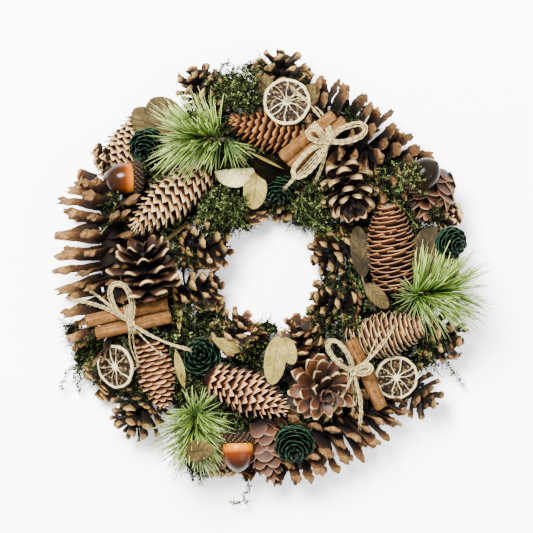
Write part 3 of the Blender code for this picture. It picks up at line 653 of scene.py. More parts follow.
# The scale forms: shares along a scale, each with a share of its size.
plankForm = plateForm({
    "along": (0, 0.26, 0.44, 0.56, 0.65, 0.72, 0.78, 0.84, 0.89, 0.93, 0.97, 1),
    "wide": ((0, 1.3), (0.3, 1.25), (0.5, 1.05), (0.64, 0.86), (0.8, 0.88), (0.9, 0.84), (1, 0.7)),
    "thick": ((0, 0.6), (0.4, 0.6), (0.66, 0.9), (0.78, 1.2), (0.84, 0.7), (0.92, 1), (1, 0.7)),
    "lift": ((0, 0), (0.4, 0.03), (0.66, 0), (0.8, 0.03), (0.88, -0.02), (1, 0)),
    "cup": ((0, 0), (0.5, -0.16), (0.8, -0.1), (1, 0)),
    "keel": 0.5, "thinEdge": 0.96, "bow": -0.01,
})
knobForm = plateForm({
    "along": (0, 0.3, 0.5, 0.62, 0.7, 0.76, 0.81, 0.87, 0.92, 0.96, 1),
    "wide": ((0, 1.05), (0.3, 1), (0.6, 0.84), (0.75, 1), (0.81, 0.84), (0.87, 0.96), (0.93, 0.8), (1, 0.6)),
    "thick": ((0, 0.4), (0.5, 0.42), (0.68, 0.7), (0.75, 1.15), (0.81, 0.65), (0.87, 1.1), (0.93, 0.7),
              (1, 0.5)),
    "lift": ((0, 0), (0.5, 0.03), (0.8, 0), (0.9, 0.02), (1, 0)),
    "cup": ((0, 0), (0.5, -0.2), (0.8, -0.1), (1, 0)),
    "keel": 0.7, "thinEdge": 0.96, "bow": 0.03, "bowPower": 1.5,
})
padForm = plateForm({
    "along": (0, 0.4, 0.7, 0.82, 0.87, 0.91, 0.96, 1),
    "wide": ((0, 0.5), (0.4, 0.72), (0.75, 0.98), (0.88, 1), (0.96, 0.84), (1, 0.66)),
    "thick": ((0, 0.3), (0.6, 0.3), (0.82, 0.4), (0.88, 1), (0.94, 1.05), (1, 0.7)),
    "lift": ((0, 0), (0.5, -0.03), (0.85, 0), (1, 0.04)),
    "cup": ((0, 0.1), (0.6, 0.16), (0.88, 0), (1, 0)),
    "thinEdge": 0.92, "bow": 0.2, "bowPower": 2.2,
})
stubForm = plateForm({
    "along": (0, 0.4, 0.7, 0.82, 0.88, 0.94, 1),
    "wide": ((0, 0.7), (0.4, 0.74), (0.7, 0.86), (0.86, 1), (0.95, 0.98), (1, 0.84)),
    "thick": ((0, 0.4), (0.6, 0.45), (0.82, 0.6), (0.88, 0.95), (0.95, 1), (1, 0.8)),
    "cup": ((0, 0), (0.6, 0.16), (1, 0.1)),
    "columns": 5, "keel": 0.6, "thinEdge": 0.95, "bow": 0.04, "bowPower": 1.3,
})
spoonForm = plateForm({
    "along": (0, 0.3, 0.55, 0.75, 0.87, 0.93, 0.97, 1),
    "wide": ((0, 0.5), (0.4, 0.78), (0.75, 0.98), (0.88, 1), (0.97, 0.86), (1, 0.7)),
    "thick": ((0, 0.6), (0.6, 0.55), (0.86, 0.7), (0.92, 1.3), (0.98, 1.1), (1, 0.7)),
    "cup": ((0, 0.1), (0.6, 0.22), (1, 0.2)),
    "columns": 9, "bow": 0.14,
})
umbrellaForm = plateForm({
    "along": (0, 0.3, 0.55, 0.75, 0.87, 0.92, 0.96, 1),
    "wide": ((0, 0.5), (0.4, 0.8), (0.75, 1), (0.9, 0.98), (1, 0.75)),
    "thick": ((0, 0.5), (0.6, 0.45), (0.86, 0.6), (0.92, 1.3), (0.97, 1.2), (1, 0.7)),
    "lift": ((0, 0), (0.5, 0.04), (0.85, 0.02), (1, -0.03)),
    "columns": 9, "bow": 0.2,
})
shingleForm = plateForm({
    "along": (0, 0.5, 0.68, 0.82, 0.92, 1),
    "wide": ((0, 0.6), (0.4, 0.95), (0.6, 1), (0.85, 0.92), (1, 0.6)),
    "thick": ((0, 1), (0.8, 0.9), (1, 0.5)),
    "lift": ((0, 0), (0.6, -0.03), (0.9, 0.01), (1, 0.05)),
    "cup": ((0, -0.2), (1, -0.34)),
    "columns": 5, "bow": 0.42, "bowPower": 1.5,
})
roundForm = plateForm({
    "along": (0, 0.5, 0.68, 0.82, 0.92, 1),
    "wide": ((0, 0.6), (0.4, 0.92), (0.6, 1), (0.85, 0.96), (1, 0.7)),
    "lift": ((0, 0), (0.6, -0.03), (0.9, 0.01), (1, 0.05)),
    "cup": ((0, -0.2), (1, -0.34)),
    "bow": 0.3,
})
petalForm = plateForm({
    "along": (0, 0.4, 0.7, 0.86, 0.95, 1),
    "wide": ((0, 0.5), (0.4, 0.88), (0.7, 1), (0.9, 0.94), (1, 0.74)),
    "thick": ((0, 1), (0.8, 0.8), (1, 0.6)),
    "lift": ((0, 0), (0.6, -0.05), (0.9, 0), (1, 0.06)),
    "bow": 0.38, "bowPower": 1.7,
})
discForm = plateForm({
    "along": (0, 0.4, 0.66, 0.8, 0.9, 0.96, 1),
    "wide": ((0, 0.5), (0.4, 0.9), (0.65, 1), (1, 0.96)),
    "lift": ((0, 0), (0.6, 0.03), (0.9, 0.02), (1, 0)),
    "cup": ((0, -0.1), (0.6, -0.14), (1, -0.12)),
    "columns": 11, "bow": 0.5, "bowPower": 2.4,
})
bowlForm = plateForm({
    "along": (0, 0.5, 0.78, 0.92, 1),
    "wide": ((0, 0.6), (0.4, 0.92), (0.7, 1), (1, 0.96)),
    "thick": ((0, 0.8), (0.8, 0.7), (0.94, 1), (1, 0.8)),
    "lift": ((0, 0), (0.6, -0.02), (0.9, 0), (1, 0.03)),
    "cup": ((0, -0.2), (0.6, -0.26), (1, -0.26)),
    "columns": 9, "thinEdge": 0.85, "bow": 0.12, "bowPower": 2.5,
})


# A small random turn of a scale's own axes, so that no two lie alike.
def shaken(rng, ahead, side, up, degrees):
    turn = Matrix.Rotation(math.radians(rng.uniform(-degrees, degrees)), 3, side)
    turn = Matrix.Rotation(math.radians(rng.uniform(-degrees, degrees)), 3, ahead) @ turn
    turn = Matrix.Rotation(math.radians(rng.uniform(-degrees, degrees) * 0.7), 3, up) @ turn
    return turn @ ahead, turn @ side, turn @ up


# Each row of a table over the values that most rows share.
def filled(usual, rows):
    return {name: {**usual, **row} for name, row in rows.items()}


# Scales of the open cones, with what most share given first.
usualOpen = {"crumple": 0.8, "worn": 0.9, "cluster": 3, "bare": 1, "angular": True}
openScales = filled(usualOpen, {
    "plank": {"form": plankForm, "wide": 5.8, "thick": 4, "shake": 8, "roll": 36, "fill": 0.74,
              "worn": 0.92, "cluster": 5, "ragged": 1.6},
    "darkPlank": {"form": knobForm, "wide": 7.2, "thick": 5.6, "shake": 6, "roll": 36, "fill": 0.9,
                  "cluster": 5, "ragged": 1.6},
    "pads": {"form": padForm, "wide": 6.6, "thick": 5, "shake": 4, "roll": 0, "crumple": 0.2,
             "fill": 0.5, "worn": 0.8, "bare": 0.75, "ragged": 0, "angular": False},
    "umbrella": {"form": umbrellaForm, "wide": 7.2, "thick": 2, "shake": 5, "roll": 0,
                 "crumple": 0.2, "fill": 0.56, "worn": 0.92, "bare": 0.8, "ragged": 0, "angular": False},
    "warm": {"form": spoonForm, "wide": 5.6, "thick": 2.4, "shake": 11, "roll": 14, "fill": 0.44,
             "worn": 0.8, "cluster": 0, "ragged": 0.5, "angular": False},
    "stubs": {"form": stubForm, "wide": 5.2, "thick": 4.6, "shake": 9, "roll": 28, "crumple": 0.4,
              "fill": 0.66, "cluster": 2, "bare": 0.75, "ragged": 0.6},
    "warmDark": {"form": stubForm, "wide": 4.8, "thick": 4.2, "shake": 9, "roll": 10,
                 "crumple": 0.5, "fill": 0.64, "bare": 0.8, "ragged": 0.6},
})


def layOpenScale(bag, plan, scale, coreRadius, rng, matrix, narrow=1.0):
    up = scale["ahead"].cross(scale["side"])
    if up.z < 0:
        up = -up
    side = up.cross(scale["ahead"])
    # Rolled a little about its own length, the broad face of a side scale catches the light.
    roll = Matrix.Rotation(math.radians(plan["roll"] * rng.uniform(0.6, 1.3)), 3, scale["ahead"])
    axes = shaken(rng, scale["ahead"], roll @ side, roll @ up, plan["shake"])
    start = scale["middle"] - axes[0] * coreRadius * 0.5
    wide = plan["wide"] * scale["small"] * rng.uniform(0.9, 1.1) * narrow
    far = scale["far"] * rng.uniform(0.97, 1.03) + coreRadius * 0.5
    layPlate(bag, plan, start, axes, far, wide, rng, matrix, thick=scale["small"] * narrow,
             worn=scale.get("worn", 1.0))


# How far a scale can run before it meets another node or the floor.
def clearLength(name, start, way, limit):
    if way.z < -0.01:
        limit = min(limit, (start.z - 1.5) / -way.z)
    spot, gone = start, 0.0
    while gone < limit:
        hit, _, index, far = allNodes.ray_cast(spot, way, limit - gone)
        if hit is None:
            return limit
        if faceOwners[index] != name:
            return gone + far
        gone += far + 0.05
        spot = hit + way * 0.05
    return limit


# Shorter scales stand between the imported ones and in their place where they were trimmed.
def fillScales(row, matrix, scales, plan):
    name, kindName, *_, length, radius, _ = row
    kind = kinds[kindName]
    share = plan["fill"]
    rng = random.Random(name + "fill")
    turn = matrix.to_3x3()
    full = radius * (1 - kind["core"]) / math.cos(math.radians(kind["lean"][1]))
    spots = []
    for ring in range(kind["rings"]):
        for k in range(2 * kind["count"]):
            angle = math.pi * (k + 0.5 * (ring % 2)) / kind["count"]
            spots.append(((ring + 0.5) / kind["rings"], angle, share))
    spots += [(0.96, 2 * math.pi * k / 5, 0.4) for k in range(plan["cluster"])]
    added = []
    for along, angle, reach in spots:
        out = flatRay(angle)
        taken = [s for s in scales if abs(s["along"] - along) < 0.03 and s["out"].dot(out) > math.cos(0.4)]
        if taken or reach == share and along > plan["bare"]:
            continue
        ahead = leaning(out, math.radians(between(kind["lean"], along) + (14 if along > 0.95 else 0)))
        middle = out * radius * kind["core"] * between(kind["profile"], along) * 0.8
        middle += Vector((0, 0, along * length))
        far = full * between(kind["reach"], along) * reach * rng.uniform(0.85, 1.1)
        side = leftOf(out)
        way = (turn @ ahead).normalized()
        for shift in (-0.7, 0.0, 0.7):
            start = matrix @ (middle + side * shift * plan["wide"] * 0.8)
            far = min(far, clearLength(name, start, way, far + 3) - 1.5)
        if far > 5:
            added.append({"middle": middle, "out": out, "side": side, "ahead": ahead, "worn": plan["worn"],
                          "far": far, "small": smallAt(along) * min(1.0, 0.35 + far / full)})
    return added


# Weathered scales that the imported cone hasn't room for: root and tip in picture points.
edgePlan = {"wide": 0.72, "crumple": 0.7, "shake": 14, "spread": 5, "drop": 6}
edgeScales = {
    "large_cone_1": (
        ((100, 195), (65, 188)), ((98, 226), (51, 230)), ((100, 238), (55, 243)), ((100, 254), (53, 263)),
        ((102, 278), (54, 291)), ((100, 288), (63, 299)), ((98, 305), (62, 313)), ((98, 329), (64, 338))),
    "large_cone_2": (
        ((326, 106), (322, 74)), ((343, 112), (346, 81)), ((366, 136), (381, 107)), ((386, 152), (404, 130)),
        ((404, 163), (430, 149)), ((408, 172), (437, 157))),
    "large_cone_3": (
        ((286, 460), (280, 489)), ((317, 448), (327, 466)), ((350, 430), (368, 449))),
}


def buildOpenCone(row):
    name, kindName, *_, length, radius, look = row
    kind, plan = kinds[kindName], openScales[look]
    rng = random.Random(name)
    matrix = coneFrame(row)
    bag = newBag()
    coreRadius = radius * kind["core"]
    profile = [(length * (0.02 + 0.86 * s), coreRadius * between(kind["profile"], s) * 0.85)
               for s in np.linspace(0, 1, 9)]
    profile = [(0.0, coreRadius * 0.3)] + profile + [(length * 0.93, coreRadius * 0.15)]
    # The core takes the ramp's near-black root colour: painted shade between the scales.
    layTurned(bag, profile, 12, matrix, (0.1, 0.15))
    scales = packedScales(row, matrix)
    for scale in scales:
        layOpenScale(bag, plan, scale, coreRadius, rng, matrix)
    for scale in fillScales(row, matrix, scales, plan):
        layOpenScale(bag, plan, scale, coreRadius, rng, matrix, 0.95)
    heights = nodeCorners[name][:, 2]
    for base, tip in edgeScales.get(name, ()):
        level = (heights.min() + heights.max()) / 2 + rng.uniform(-edgePlan["spread"], edgePlan["spread"])
        start = place(base, level)
        ahead = place(tip, level - rng.uniform(0, edgePlan["drop"])) - start
        side = leftOf(ahead).normalized()
        axes = shaken(rng, ahead.normalized(), side, ahead.normalized().cross(side), edgePlan["shake"])
        layPlate(bag, plan, start, axes, ahead.length, plan["wide"] * edgePlan["wide"], rng,
                 crumple=edgePlan["crumple"])
    makePiece(name + "_scales", bag, [scaleMaterials[look]], [name],
              crease=32 if plan["angular"] else None)


# Scales of the closed cones, in rows that lap over one another.
usualClosed = {"dome": 0.66, "count": 6, "wide": 1.1, "long": 4, "thick": 0.8, "root": 0.62, "shake": 5,
               "crumple": 0.25}
closedScales = filled(usualClosed, {
    "cream": {"form": shingleForm, "rings": 13, "count": 13, "lean": (48, 54, 68), "slant": 14},
    "rose": {"form": shingleForm, "rings": 12, "count": 12, "lean": (46, 52, 66), "root": 0.6,
             "slant": 12, "shake": 6, "crumple": 0.3},
    "pink": {"form": roundForm, "rings": 15, "count": 7, "long": 4.2, "lean": (46, 52, 66),
             "slant": 8, "crumple": 0.3},
    "tan": {"dome": 0.7, "form": roundForm, "rings": 13, "count": 12, "lean": (48, 54, 68),
            "thick": 0.9, "slant": 12},
    "russet": {"dome": 0.78, "form": bowlForm, "rings": 20, "wide": 1.22, "long": 3.6,
               "lean": (40, 44, 66), "thick": 0.9, "root": 0.7, "slant": 7, "shake": 3, "crumple": 0.2},
    "bowls": {"dome": 0.74, "form": bowlForm, "rings": 19, "wide": 1.22, "long": 3.6,
              "lean": (38, 46, 66), "thick": 0.9, "root": 0.68, "slant": 6, "shake": 4, "crumple": 0.2},
    "smooth": {"dome": 0.5, "form": discForm, "rings": 7, "wide": 1.08, "long": 3,
               "lean": (46, 56, 72), "thick": 1.1, "root": 0.5, "slant": 0, "shake": 7, "crumple": 0.3},
    "green": {"dome": 0.3, "form": petalForm, "rings": 10, "long": 3.6, "lean": (36, 54, 80),
              "thick": 0.7, "root": 0.5, "slant": 0, "shake": 9},
})


def domeOf(share, dome):
    past = max(0.0, share - dome) / (1.03 - dome)
    return math.sqrt(max(0.0, 1 - past * past))


def buildClosedCone(row):
    name, kindName, *_, length, radius, look = row
    kind, plan = kinds[kindName], closedScales[look]
    rng = random.Random(name)
    matrix = coneFrame(row)
    bag = newBag()
    profile = []
    for share in np.linspace(0, 1, 13):
        wide = radius * plan["root"] * between(kind["profile"], share) * 0.96 * domeOf(share, plan["dome"])
        profile.append((length * (0.03 + 0.78 * share), wide))
    # The core takes the ramp's near-black root colour: painted shade between the scales.
    layTurned(bag, profile, 20, matrix, (0.0, 0.05))
    step = length / plan["rings"]
    for ring in range(plan["rings"]):
        share = (ring + 0.5) / plan["rings"]
        wideHere = radius * between(kind["profile"], share) * domeOf(share, plan["dome"])
        lean = math.radians(between(plan["lean"], share))
        for k in range(plan["count"]):
            angle = 2 * math.pi * (k + 0.5 * (ring % 2) + 0.05 * ring) / plan["count"]
            out = flatRay(angle + rng.uniform(-0.03, 0.03))
            up = out * math.sin(lean) - Vector((0, 0, math.cos(lean)))
            slant = Matrix.Rotation(math.radians(plan["slant"]), 3, up)
            axes = shaken(rng, slant @ leaning(out, lean), slant @ -leftOf(out), up, plan["shake"])
            long = min(plan["long"] * step, (1 - plan["root"]) * wideHere / math.cos(lean) * 1.1)
            long = max(long, 2.4 * step)
            level = min((share + 0.05) * length, length * 0.985) + rng.uniform(-0.4, 0.4)
            tip = out * wideHere * rng.uniform(0.95, 1.02) + Vector((0, 0, level))
            wide = plan["wide"] * math.pi * wideHere / plan["count"]
            layPlate(bag, plan, tip - axes[0] * long, axes, long, wide, rng, matrix)
    makePiece(name + "_scales", bag, [scaleMaterials[look]], [name])


for row in largeList + openList:
    buildOpenCone(row)
print("stage: open cones")
for row in coneList:
    buildClosedCone(row)
print("stage: closed cones")


# Rough twig or vine bark: broken fibres along it, no shine.
def barkMaterial(name, dark, light, scale):
    return newMaterial(name, {"Roughness": 0.85, "IOR": 1.5}, (
        ("fibres", "TexNoise", {"Scale": scale, "Detail": 8.0, "Roughness": 0.7}, {"Vector": "object"}),
        ("Base Color", "ValToRGB", {"stops": ((0.3, dark), (0.7, light))}, {0: "fibres"}),
        ("Normal", "Bump", {"Strength": 0.6, "Distance": 0.0008}, {"Height": "fibres"}),
    ))


# Fresh long needles: waxy, so satin, pale at the tips and deeper green at the sheath.
needleGreen = newMaterial("needle_waxy", {"Roughness": 0.5, "IOR": 1.45, "Specular IOR Level": 0.25}, (
    ("along", "ValToRGB", {"stops": (
        (0.0, "#121D02"), (0.3, "#2C4509"), (0.7, "#556A26"), (1.0, "#7C8449"))}, {0: "reach"}),
    ("value", "MapRange", {3: 0.25, 4: 1.55}, {0: "tone"}),
    ("Base Color", "HueSaturation", {}, {"Color": "along", "Value": "value"}),
    ("ridges", "TexNoise", {"Scale": 900.0}, {"Vector": "object"}),
    ("Normal", "Bump", {"Strength": 0.2, "Distance": 0.0002}, {"Height": "ridges"}),
))
twigBark = barkMaterial("twig_bark", "#120803", "#3F270F", 220.0)
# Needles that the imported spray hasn't room for: their root, then where each bunch ends, in picture points.
extraNeedles = {
    "needle_spray_1": ((229, 142), ((253, 158), (250, 165), (242, 169), (235, 170), (226, 169), (247, 152))),
    "needle_spray_2": ((420, 296), ((396, 284), (394, 291), (397, 300), (402, 307), (409, 313), (403, 279))),
    "needle_spray_3": ((196, 413), ((215, 396), (209, 391), (202, 389), (195, 391), (188, 393), (182, 399),
                                    (176, 408))),
}
needlePlan = {"perArm": 9, "spread": 11, "radius": 0.5, "segments": 5, "droop": 0.16}


def buildSpray(row):
    name, *_, length, _, _ = row
    rng = random.Random(name)
    matrix = coneFrame(row)
    turn = matrix.to_3x3()
    bag = newBag()
    twig = [matrix @ Vector((0, 0, length * s)) for s in np.linspace(0.0, 0.85, 8)]
    layTube(bag, twig, np.linspace(1.6, 1.0, 8), 8, 0.5, slot=1)
    shares = np.linspace(0, 1, needlePlan["segments"])
    radii = needlePlan["radius"] * np.interp(shares, (0, 0.1, 0.85, 1), (0.7, 1, 0.9, 0.35))
    for scale in packedScales(row, matrix):
        for _ in range(needlePlan["perArm"]):
            ahead = shaken(rng, scale["ahead"], scale["side"], scale["ahead"].cross(scale["side"]),
                           needlePlan["spread"])[0]
            far = scale["far"] * rng.uniform(0.7, 1.12)
            start = matrix @ (Vector((0, 0, scale["middle"].z + rng.uniform(-2, 2))))
            way = (turn @ ahead).normalized()
            bend = Vector((rng.uniform(-1, 1), rng.uniform(-1, 1), -0.5)) * needlePlan["droop"] * far
            layTube(bag, [start + way * far * s + bend * s * s for s in shares], radii, 3, rng.random())
    root, ends = extraNeedles[name]
    level = twig[3].z + 3
    for end in ends:
        for _ in range(5):
            start = place(root, level + rng.uniform(-2, 3)) + Vector(scatter(rng, 4))
            tip = place(end, level + rng.uniform(-6, 6)) + Vector(scatter(rng, 6))
            rise = Vector((0, 0, rng.uniform(0, 3)))
            path = [start.lerp(tip, s) + rise * 4 * s * (1 - s) for s in np.linspace(0, 1, 5)]
            layTube(bag, path, needlePlan["radius"] * np.array((0.7, 1, 1, 0.9, 0.35)), 3, rng.uniform(0, 0.6))
    makePiece(name + "_needles", bag, [needleGreen, twigBark], [name])


for row in sprayList:
    buildSpray(row)
print("stage: needles")


def smoothPath(stops, step):
    stops = [np.array(tuple(p)) for p in stops]
    padded = [2 * stops[0] - stops[1]] + stops + [2 * stops[-1] - stops[-2]]
    path = []
    for i in range(1, len(padded) - 2):
        a, b, c, d = padded[i - 1:i + 3]
        count = max(2, int(np.linalg.norm(c - b) / step))
        for k in range(count):
            t = k / count
            path.append(0.5 * (2 * b + (c - a) * t + (2 * a - 5 * b + 4 * c - d) * t * t
                               + (3 * b - a - 3 * c + d) * t ** 3))
    path.append(stops[-1])
    return np.array(path)


# Vine ring: long strands wound round each other, flat underneath.
ringPlan = {
    "centre": (268, 271), "radius": 112.0, "halfWidth": 33.0, "halfHeight": 15.0,
    "strands": 24, "points": 100, "sides": 5, "thickness": (2.2, 4.6),
}


def buildRing():
    rng = random.Random("vine_ring")
    bag = newBag()
    centre = place(ringPlan["centre"])
    angles = np.linspace(0, 2 * math.pi, ringPlan["points"])
    for _ in range(ringPlan["strands"]):
        size = rng.uniform(*ringPlan["thickness"])
        turns = rng.choice((2, 3, 4, 5, -3, -4))
        phase = rng.uniform(0, 2 * math.pi)
        depth = rng.uniform(0.72, 1.0)
        section = phase + turns * angles + 0.5 * np.sin(3 * angles + phase)
        out = ringPlan["radius"] + (ringPlan["halfWidth"] - size) * depth * np.cos(section)
        height = ringPlan["halfHeight"] + (ringPlan["halfHeight"] - size) * depth * np.sin(section)
        path = np.stack([centre.x + out * np.cos(angles), centre.y + out * np.sin(angles),
                         np.maximum(height, size)], axis=1)
        layTube(bag, path, size * (1 + 0.12 * np.sin(9 * angles + phase)), ringPlan["sides"], rng.random())
    # A solid core inside the strands, in the same near-black bark, is painted shade in the gaps between them.
    inner = []
    for k in range(12):
        angle = 2 * math.pi * k / 12
        inner.append((0.8 * ringPlan["halfWidth"] * math.cos(angle), 15 + 12 * math.sin(angle)))
    points, faces = [], []
    count = 60
    for i in range(count):
        around = 2 * math.pi * i / count
        for out, height in inner:
            reach = ringPlan["radius"] + out
            points.append((centre.x + reach * math.cos(around), centre.y + reach * math.sin(around), height))
    for i in range(count):
        for k in range(12):
            n, m = (i + 1) % count, (k + 1) % 12
            faces.append((i * 12 + k, n * 12 + k, n * 12 + m, i * 12 + m))
    pour(bag, np.array(points), faces, paintOf(len(points)))
    makePiece("vine_ring_strands", bag, [shadedVineBark], ["vine_ring"])


# The vine bark is near black: painted shade in the depth of the ring.
shadedVineBark = barkMaterial("vine_bark_shaded", "#080402", "#26180B", 160.0)
buildRing()
print("stage: ring")


# Acorns: a smooth nut with a small point, in a cup of overlapping bumps.
acornList = (
    ("acorn_1", (124, 178), (-30, 2), 8, 90),
    ("acorn_2", (238, 451), (1, 28), 4, 80),
    ("acorn_3", (421, 176), (16, -14), 20, 96),
)
acornPlan = {
    "middle": 8, "tip": 25.2, "sides": 48,
    "nut": ((-2.0, 9.0), (0.6, 12.4), (3.6, 13.1), (7.0, 13.3), (10.5, 13.1), (14.0, 12.4), (17.4, 11.1),
            (20.4, 9.1), (22.8, 6.6), (24.4, 4.0), (25.2, 2.2), (25.8, 1.2), (26.1, 0.5)),
    "cup": ((-10.6, 1.2), (-10.2, 4.4), (-9.2, 7.6), (-7.4, 10.2), (-5.2, 12.0), (-2.8, 13.2), (-0.6, 13.7),
            (0.7, 13.6), (1.1, 12.9), (0.4, 12.3)),
    "bumpRows": 8, "bumps": 17, "bumpSize": 1.2,
}


def buildAcorn(row):
    name, point, heading, tilt, height = row
    ahead = headingOf(heading, tilt)
    matrix = frameAlong(place(point, height) - ahead * acornPlan["middle"], ahead)
    matrix = seated(name, matrix, [Vector((0, 0, acornPlan["tip"]))])
    bag = newBag()
    layTurned(bag, acornPlan["nut"], acornPlan["sides"], matrix, (0.0, 1.0))
    layTurned(bag, acornPlan["cup"], acornPlan["sides"], matrix, (0.0, 1.0), slot=1)
    heights, widths = zip(*acornPlan["cup"])
    rng = random.Random(name)
    rows = acornPlan["bumpRows"]
    # A bump is three rings of six points, closed by one on top.
    dome = [(1.25 * size * math.cos(math.pi * q / 3), size * math.sin(math.pi * q / 3), tall * 0.9 - 0.15)
            for tall, size in ((0.0, 1.0), (0.55, 0.8), (0.9, 0.4)) for q in range(6)]
    dome = np.array(dome + [(0, 0, 0.85)]) * acornPlan["bumpSize"]
    caps = [(12 + q, 12 + (q + 1) % 6, 18) for q in range(6)]
    for i in range(rows):
        level = np.interp(i / (rows - 1), (0, 1), (-9.8, 0.1))
        wide = float(np.interp(level, heights[:8], widths[:8]))
        count = max(6, int(acornPlan["bumps"] * wide / 13.5))
        for k in range(count):
            angle = 2 * math.pi * (k + 0.5 * (i % 2)) / count + rng.uniform(-0.03, 0.03)
            slope = math.radians(np.interp(level, (-10, 0), (20, 80)))
            out = np.array((math.cos(angle), math.sin(angle), 0.0))
            side = np.array((-math.sin(angle), math.cos(angle), 0.0))
            way = -out * math.cos(slope) + np.array((0, 0, -math.sin(slope)))
            up = np.cross(side, way)
            if up @ out < 0 and level > -8:
                up = -up
            points = dome * rng.uniform(0.75, 1.15) @ np.stack([way, side, up]) + out * wide + (0, 0, level)
            paint = paintOf(len(points), 0.5, 0.0, rng.random())
            # The rim value runs from a bump's foot to its top, for the painted shade in the hollows.
            paint[:, 1] = np.concatenate([np.repeat((0.0, 0.6, 1.0), 6), [1.0]])
            pour(bag, placedBy(matrix, points), ringQuads(3, 6), paint, 1, caps)
    makePiece(name + "_shell", bag, [acornNuts[name], acornCup], [name])


# Polished nut skin: a clear shine over faint long streaks, amber by the cup.
def nutMaterial(name, stops, shine=0.09):
    return newMaterial(name, {"Roughness": 0.2, "IOR": 1.5, "Specular IOR Level": shine}, (
        ("streaks", "TexNoise", {"Scale": 120.0, "Detail": 4.0}, {"Vector": "object"}),
        ("blend", "Math", {"operation": "MULTIPLY_ADD", 1: 0.12}, {0: "streaks", 2: "reach"}),
        ("Base Color", "ValToRGB", {"stops": stops}, {0: "blend"}),
        ("Normal", "Bump", {"Strength": 0.08, "Distance": 0.0004}, {"Height": "streaks"}),
    ))


acornNuts = {
    "acorn_1": nutMaterial("acorn_nut_amber", (
        (0.08, "#9A6200"), (0.24, "#7A3E00"), (0.42, "#371501"), (0.6, "#1C0A03"), (0.85, "#150A05"),
        (1.0, "#1C130D"))),
    "acorn_2": nutMaterial("acorn_nut_brown", (
        (0.08, "#8E5E00"), (0.34, "#874800"), (0.46, "#421903"), (0.75, "#220C04"), (1.0, "#1C110B"))),
    "acorn_3": nutMaterial("acorn_nut_grey", (
        (0.1, "#241407"), (0.4, "#0F0904"), (0.8, "#0B0805"), (1.0, "#15120F")), 0.03),
}
# Dry cup scales: each bump near black at its foot, painted shade in the hollows between bumps, and pale towards
# its worn top.
acornCup = newMaterial("acorn_cup_scales", {"Roughness": 0.9, "IOR": 1.5, "Specular IOR Level": 0.1}, (
    ("worn", "ValToRGB", {"stops": ((0.0, "#060301"), (0.6, "#1C1008"), (1.0, "#3C2818"))}, {0: "rim"}),
    ("grit", "TexNoise", {"Scale": 700.0, "Detail": 4.0}, {"Vector": "object"}),
    ("value", "MapRange", {1: 0.3, 2: 0.7, 3: 0.75, 4: 1.15}, {0: "grit"}),
    ("Base Color", "HueSaturation", {}, {"Color": "worn", "Value": "value"}),
    ("Normal", "Bump", {"Strength": 0.4, "Distance": 0.0003}, {"Height": "grit"}),
))
for row in acornList:
    buildAcorn(row)
print("stage: acorns")


# Dried slices: rind, raised membranes and sunken crumpled flesh.
sliceList = (
    ("citrus_slice_1", (286.7, 102), 20.5, 8, (4, -10), 100),
    ("citrus_slice_2", (115, 367), 19.5, 36, (-10, 3), 62),
    ("citrus_slice_3", (397, 378), 19.0, 10, (6, 8), 90),
)
slicePlan = {"thickness": 3.2, "wave": 0.6, "cells": 10, "sides": 120, "sunk": 1.25}


def buildSlice(row):
    name, point, radius, tilt, side, height = row
    half = slicePlan["thickness"] / 2
    rng = random.Random(name)
    way = Vector((side[0], -side[1], 0)).normalized()
    tipped = math.radians(tilt)
    up = Vector((0, 0, math.cos(tipped))) + way * math.sin(tipped)
    rim = []
    for k in range(18):
        angle = 2 * math.pi * k / 18
        rim.append(Vector((radius * math.cos(angle), radius * math.sin(angle),
                           half + slicePlan["wave"] * math.sin(2 * angle))))
    matrix = seated(name, frameAlong(place(point, height), up), rim)
    sides, cells = slicePlan["sides"], slicePlan["cells"]
    angles = np.linspace(0, 2 * math.pi, sides, endpoint=False)
    # Membranes are unevenly spread; the flesh sinks between them and shrinks in lumps.
    edges = np.array([(c + rng.uniform(-0.28, 0.28)) / cells for c in range(cells)]) * 2 * math.pi
    breadths = np.array([rng.uniform(0.3, 0.8) for _ in range(cells)])
    shares = (0.0, 0.06, 0.12, 0.18, 0.26, 0.34, 0.42, 0.5, 0.58, 0.66, 0.74, 0.8, 0.85, 0.89, 0.93, 0.97, 1.0)
    lumps = [(rng.uniform(0, 6.28), rng.randint(5, 17), rng.uniform(9, 22)) for _ in range(5)]
    uneven = 1 + 0.01 * np.sin(7 * angles + lumps[0][0]) + 0.008 * np.sin(13 * angles + lumps[1][0])
    points, paints = [], []
    for face in (1, -1):
        for share in shares:
            bent = edges + 0.07 * np.sin(7 * share + 2.3 * np.arange(cells))
            apart = np.abs((angles[:, None] - bent[None, :] + math.pi) % (2 * math.pi) - math.pi)
            wall = np.exp(-(apart * share * radius / breadths) ** 2).max(axis=1)
            inFlesh = 1 / (1 + np.exp(-(share - 0.17) * 40)) / (1 + np.exp((share - 0.86) * 50))
            crumple = sum(np.sin(phase + n * angles + m * share) for phase, n, m in lumps) / 5
            sunk = inFlesh * (1 - wall) * (1.0 + 0.5 * crumple)
            edge = math.sqrt(max(0.0, 1 - max(0.0, (share - 0.93) / 0.07) ** 2))
            z = face * (half * edge * (1 - 0.1 * share) - slicePlan["sunk"] * sunk)
            z = z + slicePlan["wave"] * np.sin(2 * angles) * share
            reach = radius * share * uneven
            points.append(np.stack([reach * np.cos(angles), reach * np.sin(angles), z], axis=1))
            paints.append(np.stack([np.full(sides, share), np.clip(sunk, 0, 1),
                                    0.5 + 0.5 * crumple, np.zeros(sides)], axis=1))
    bag = newBag()
    pour(bag, placedBy(matrix, np.concatenate(points)), sheetQuads(len(shares), sides, closed=True),
         np.concatenate(paints))
    makePiece(name + "_flesh", bag, [citrusDry], [name])
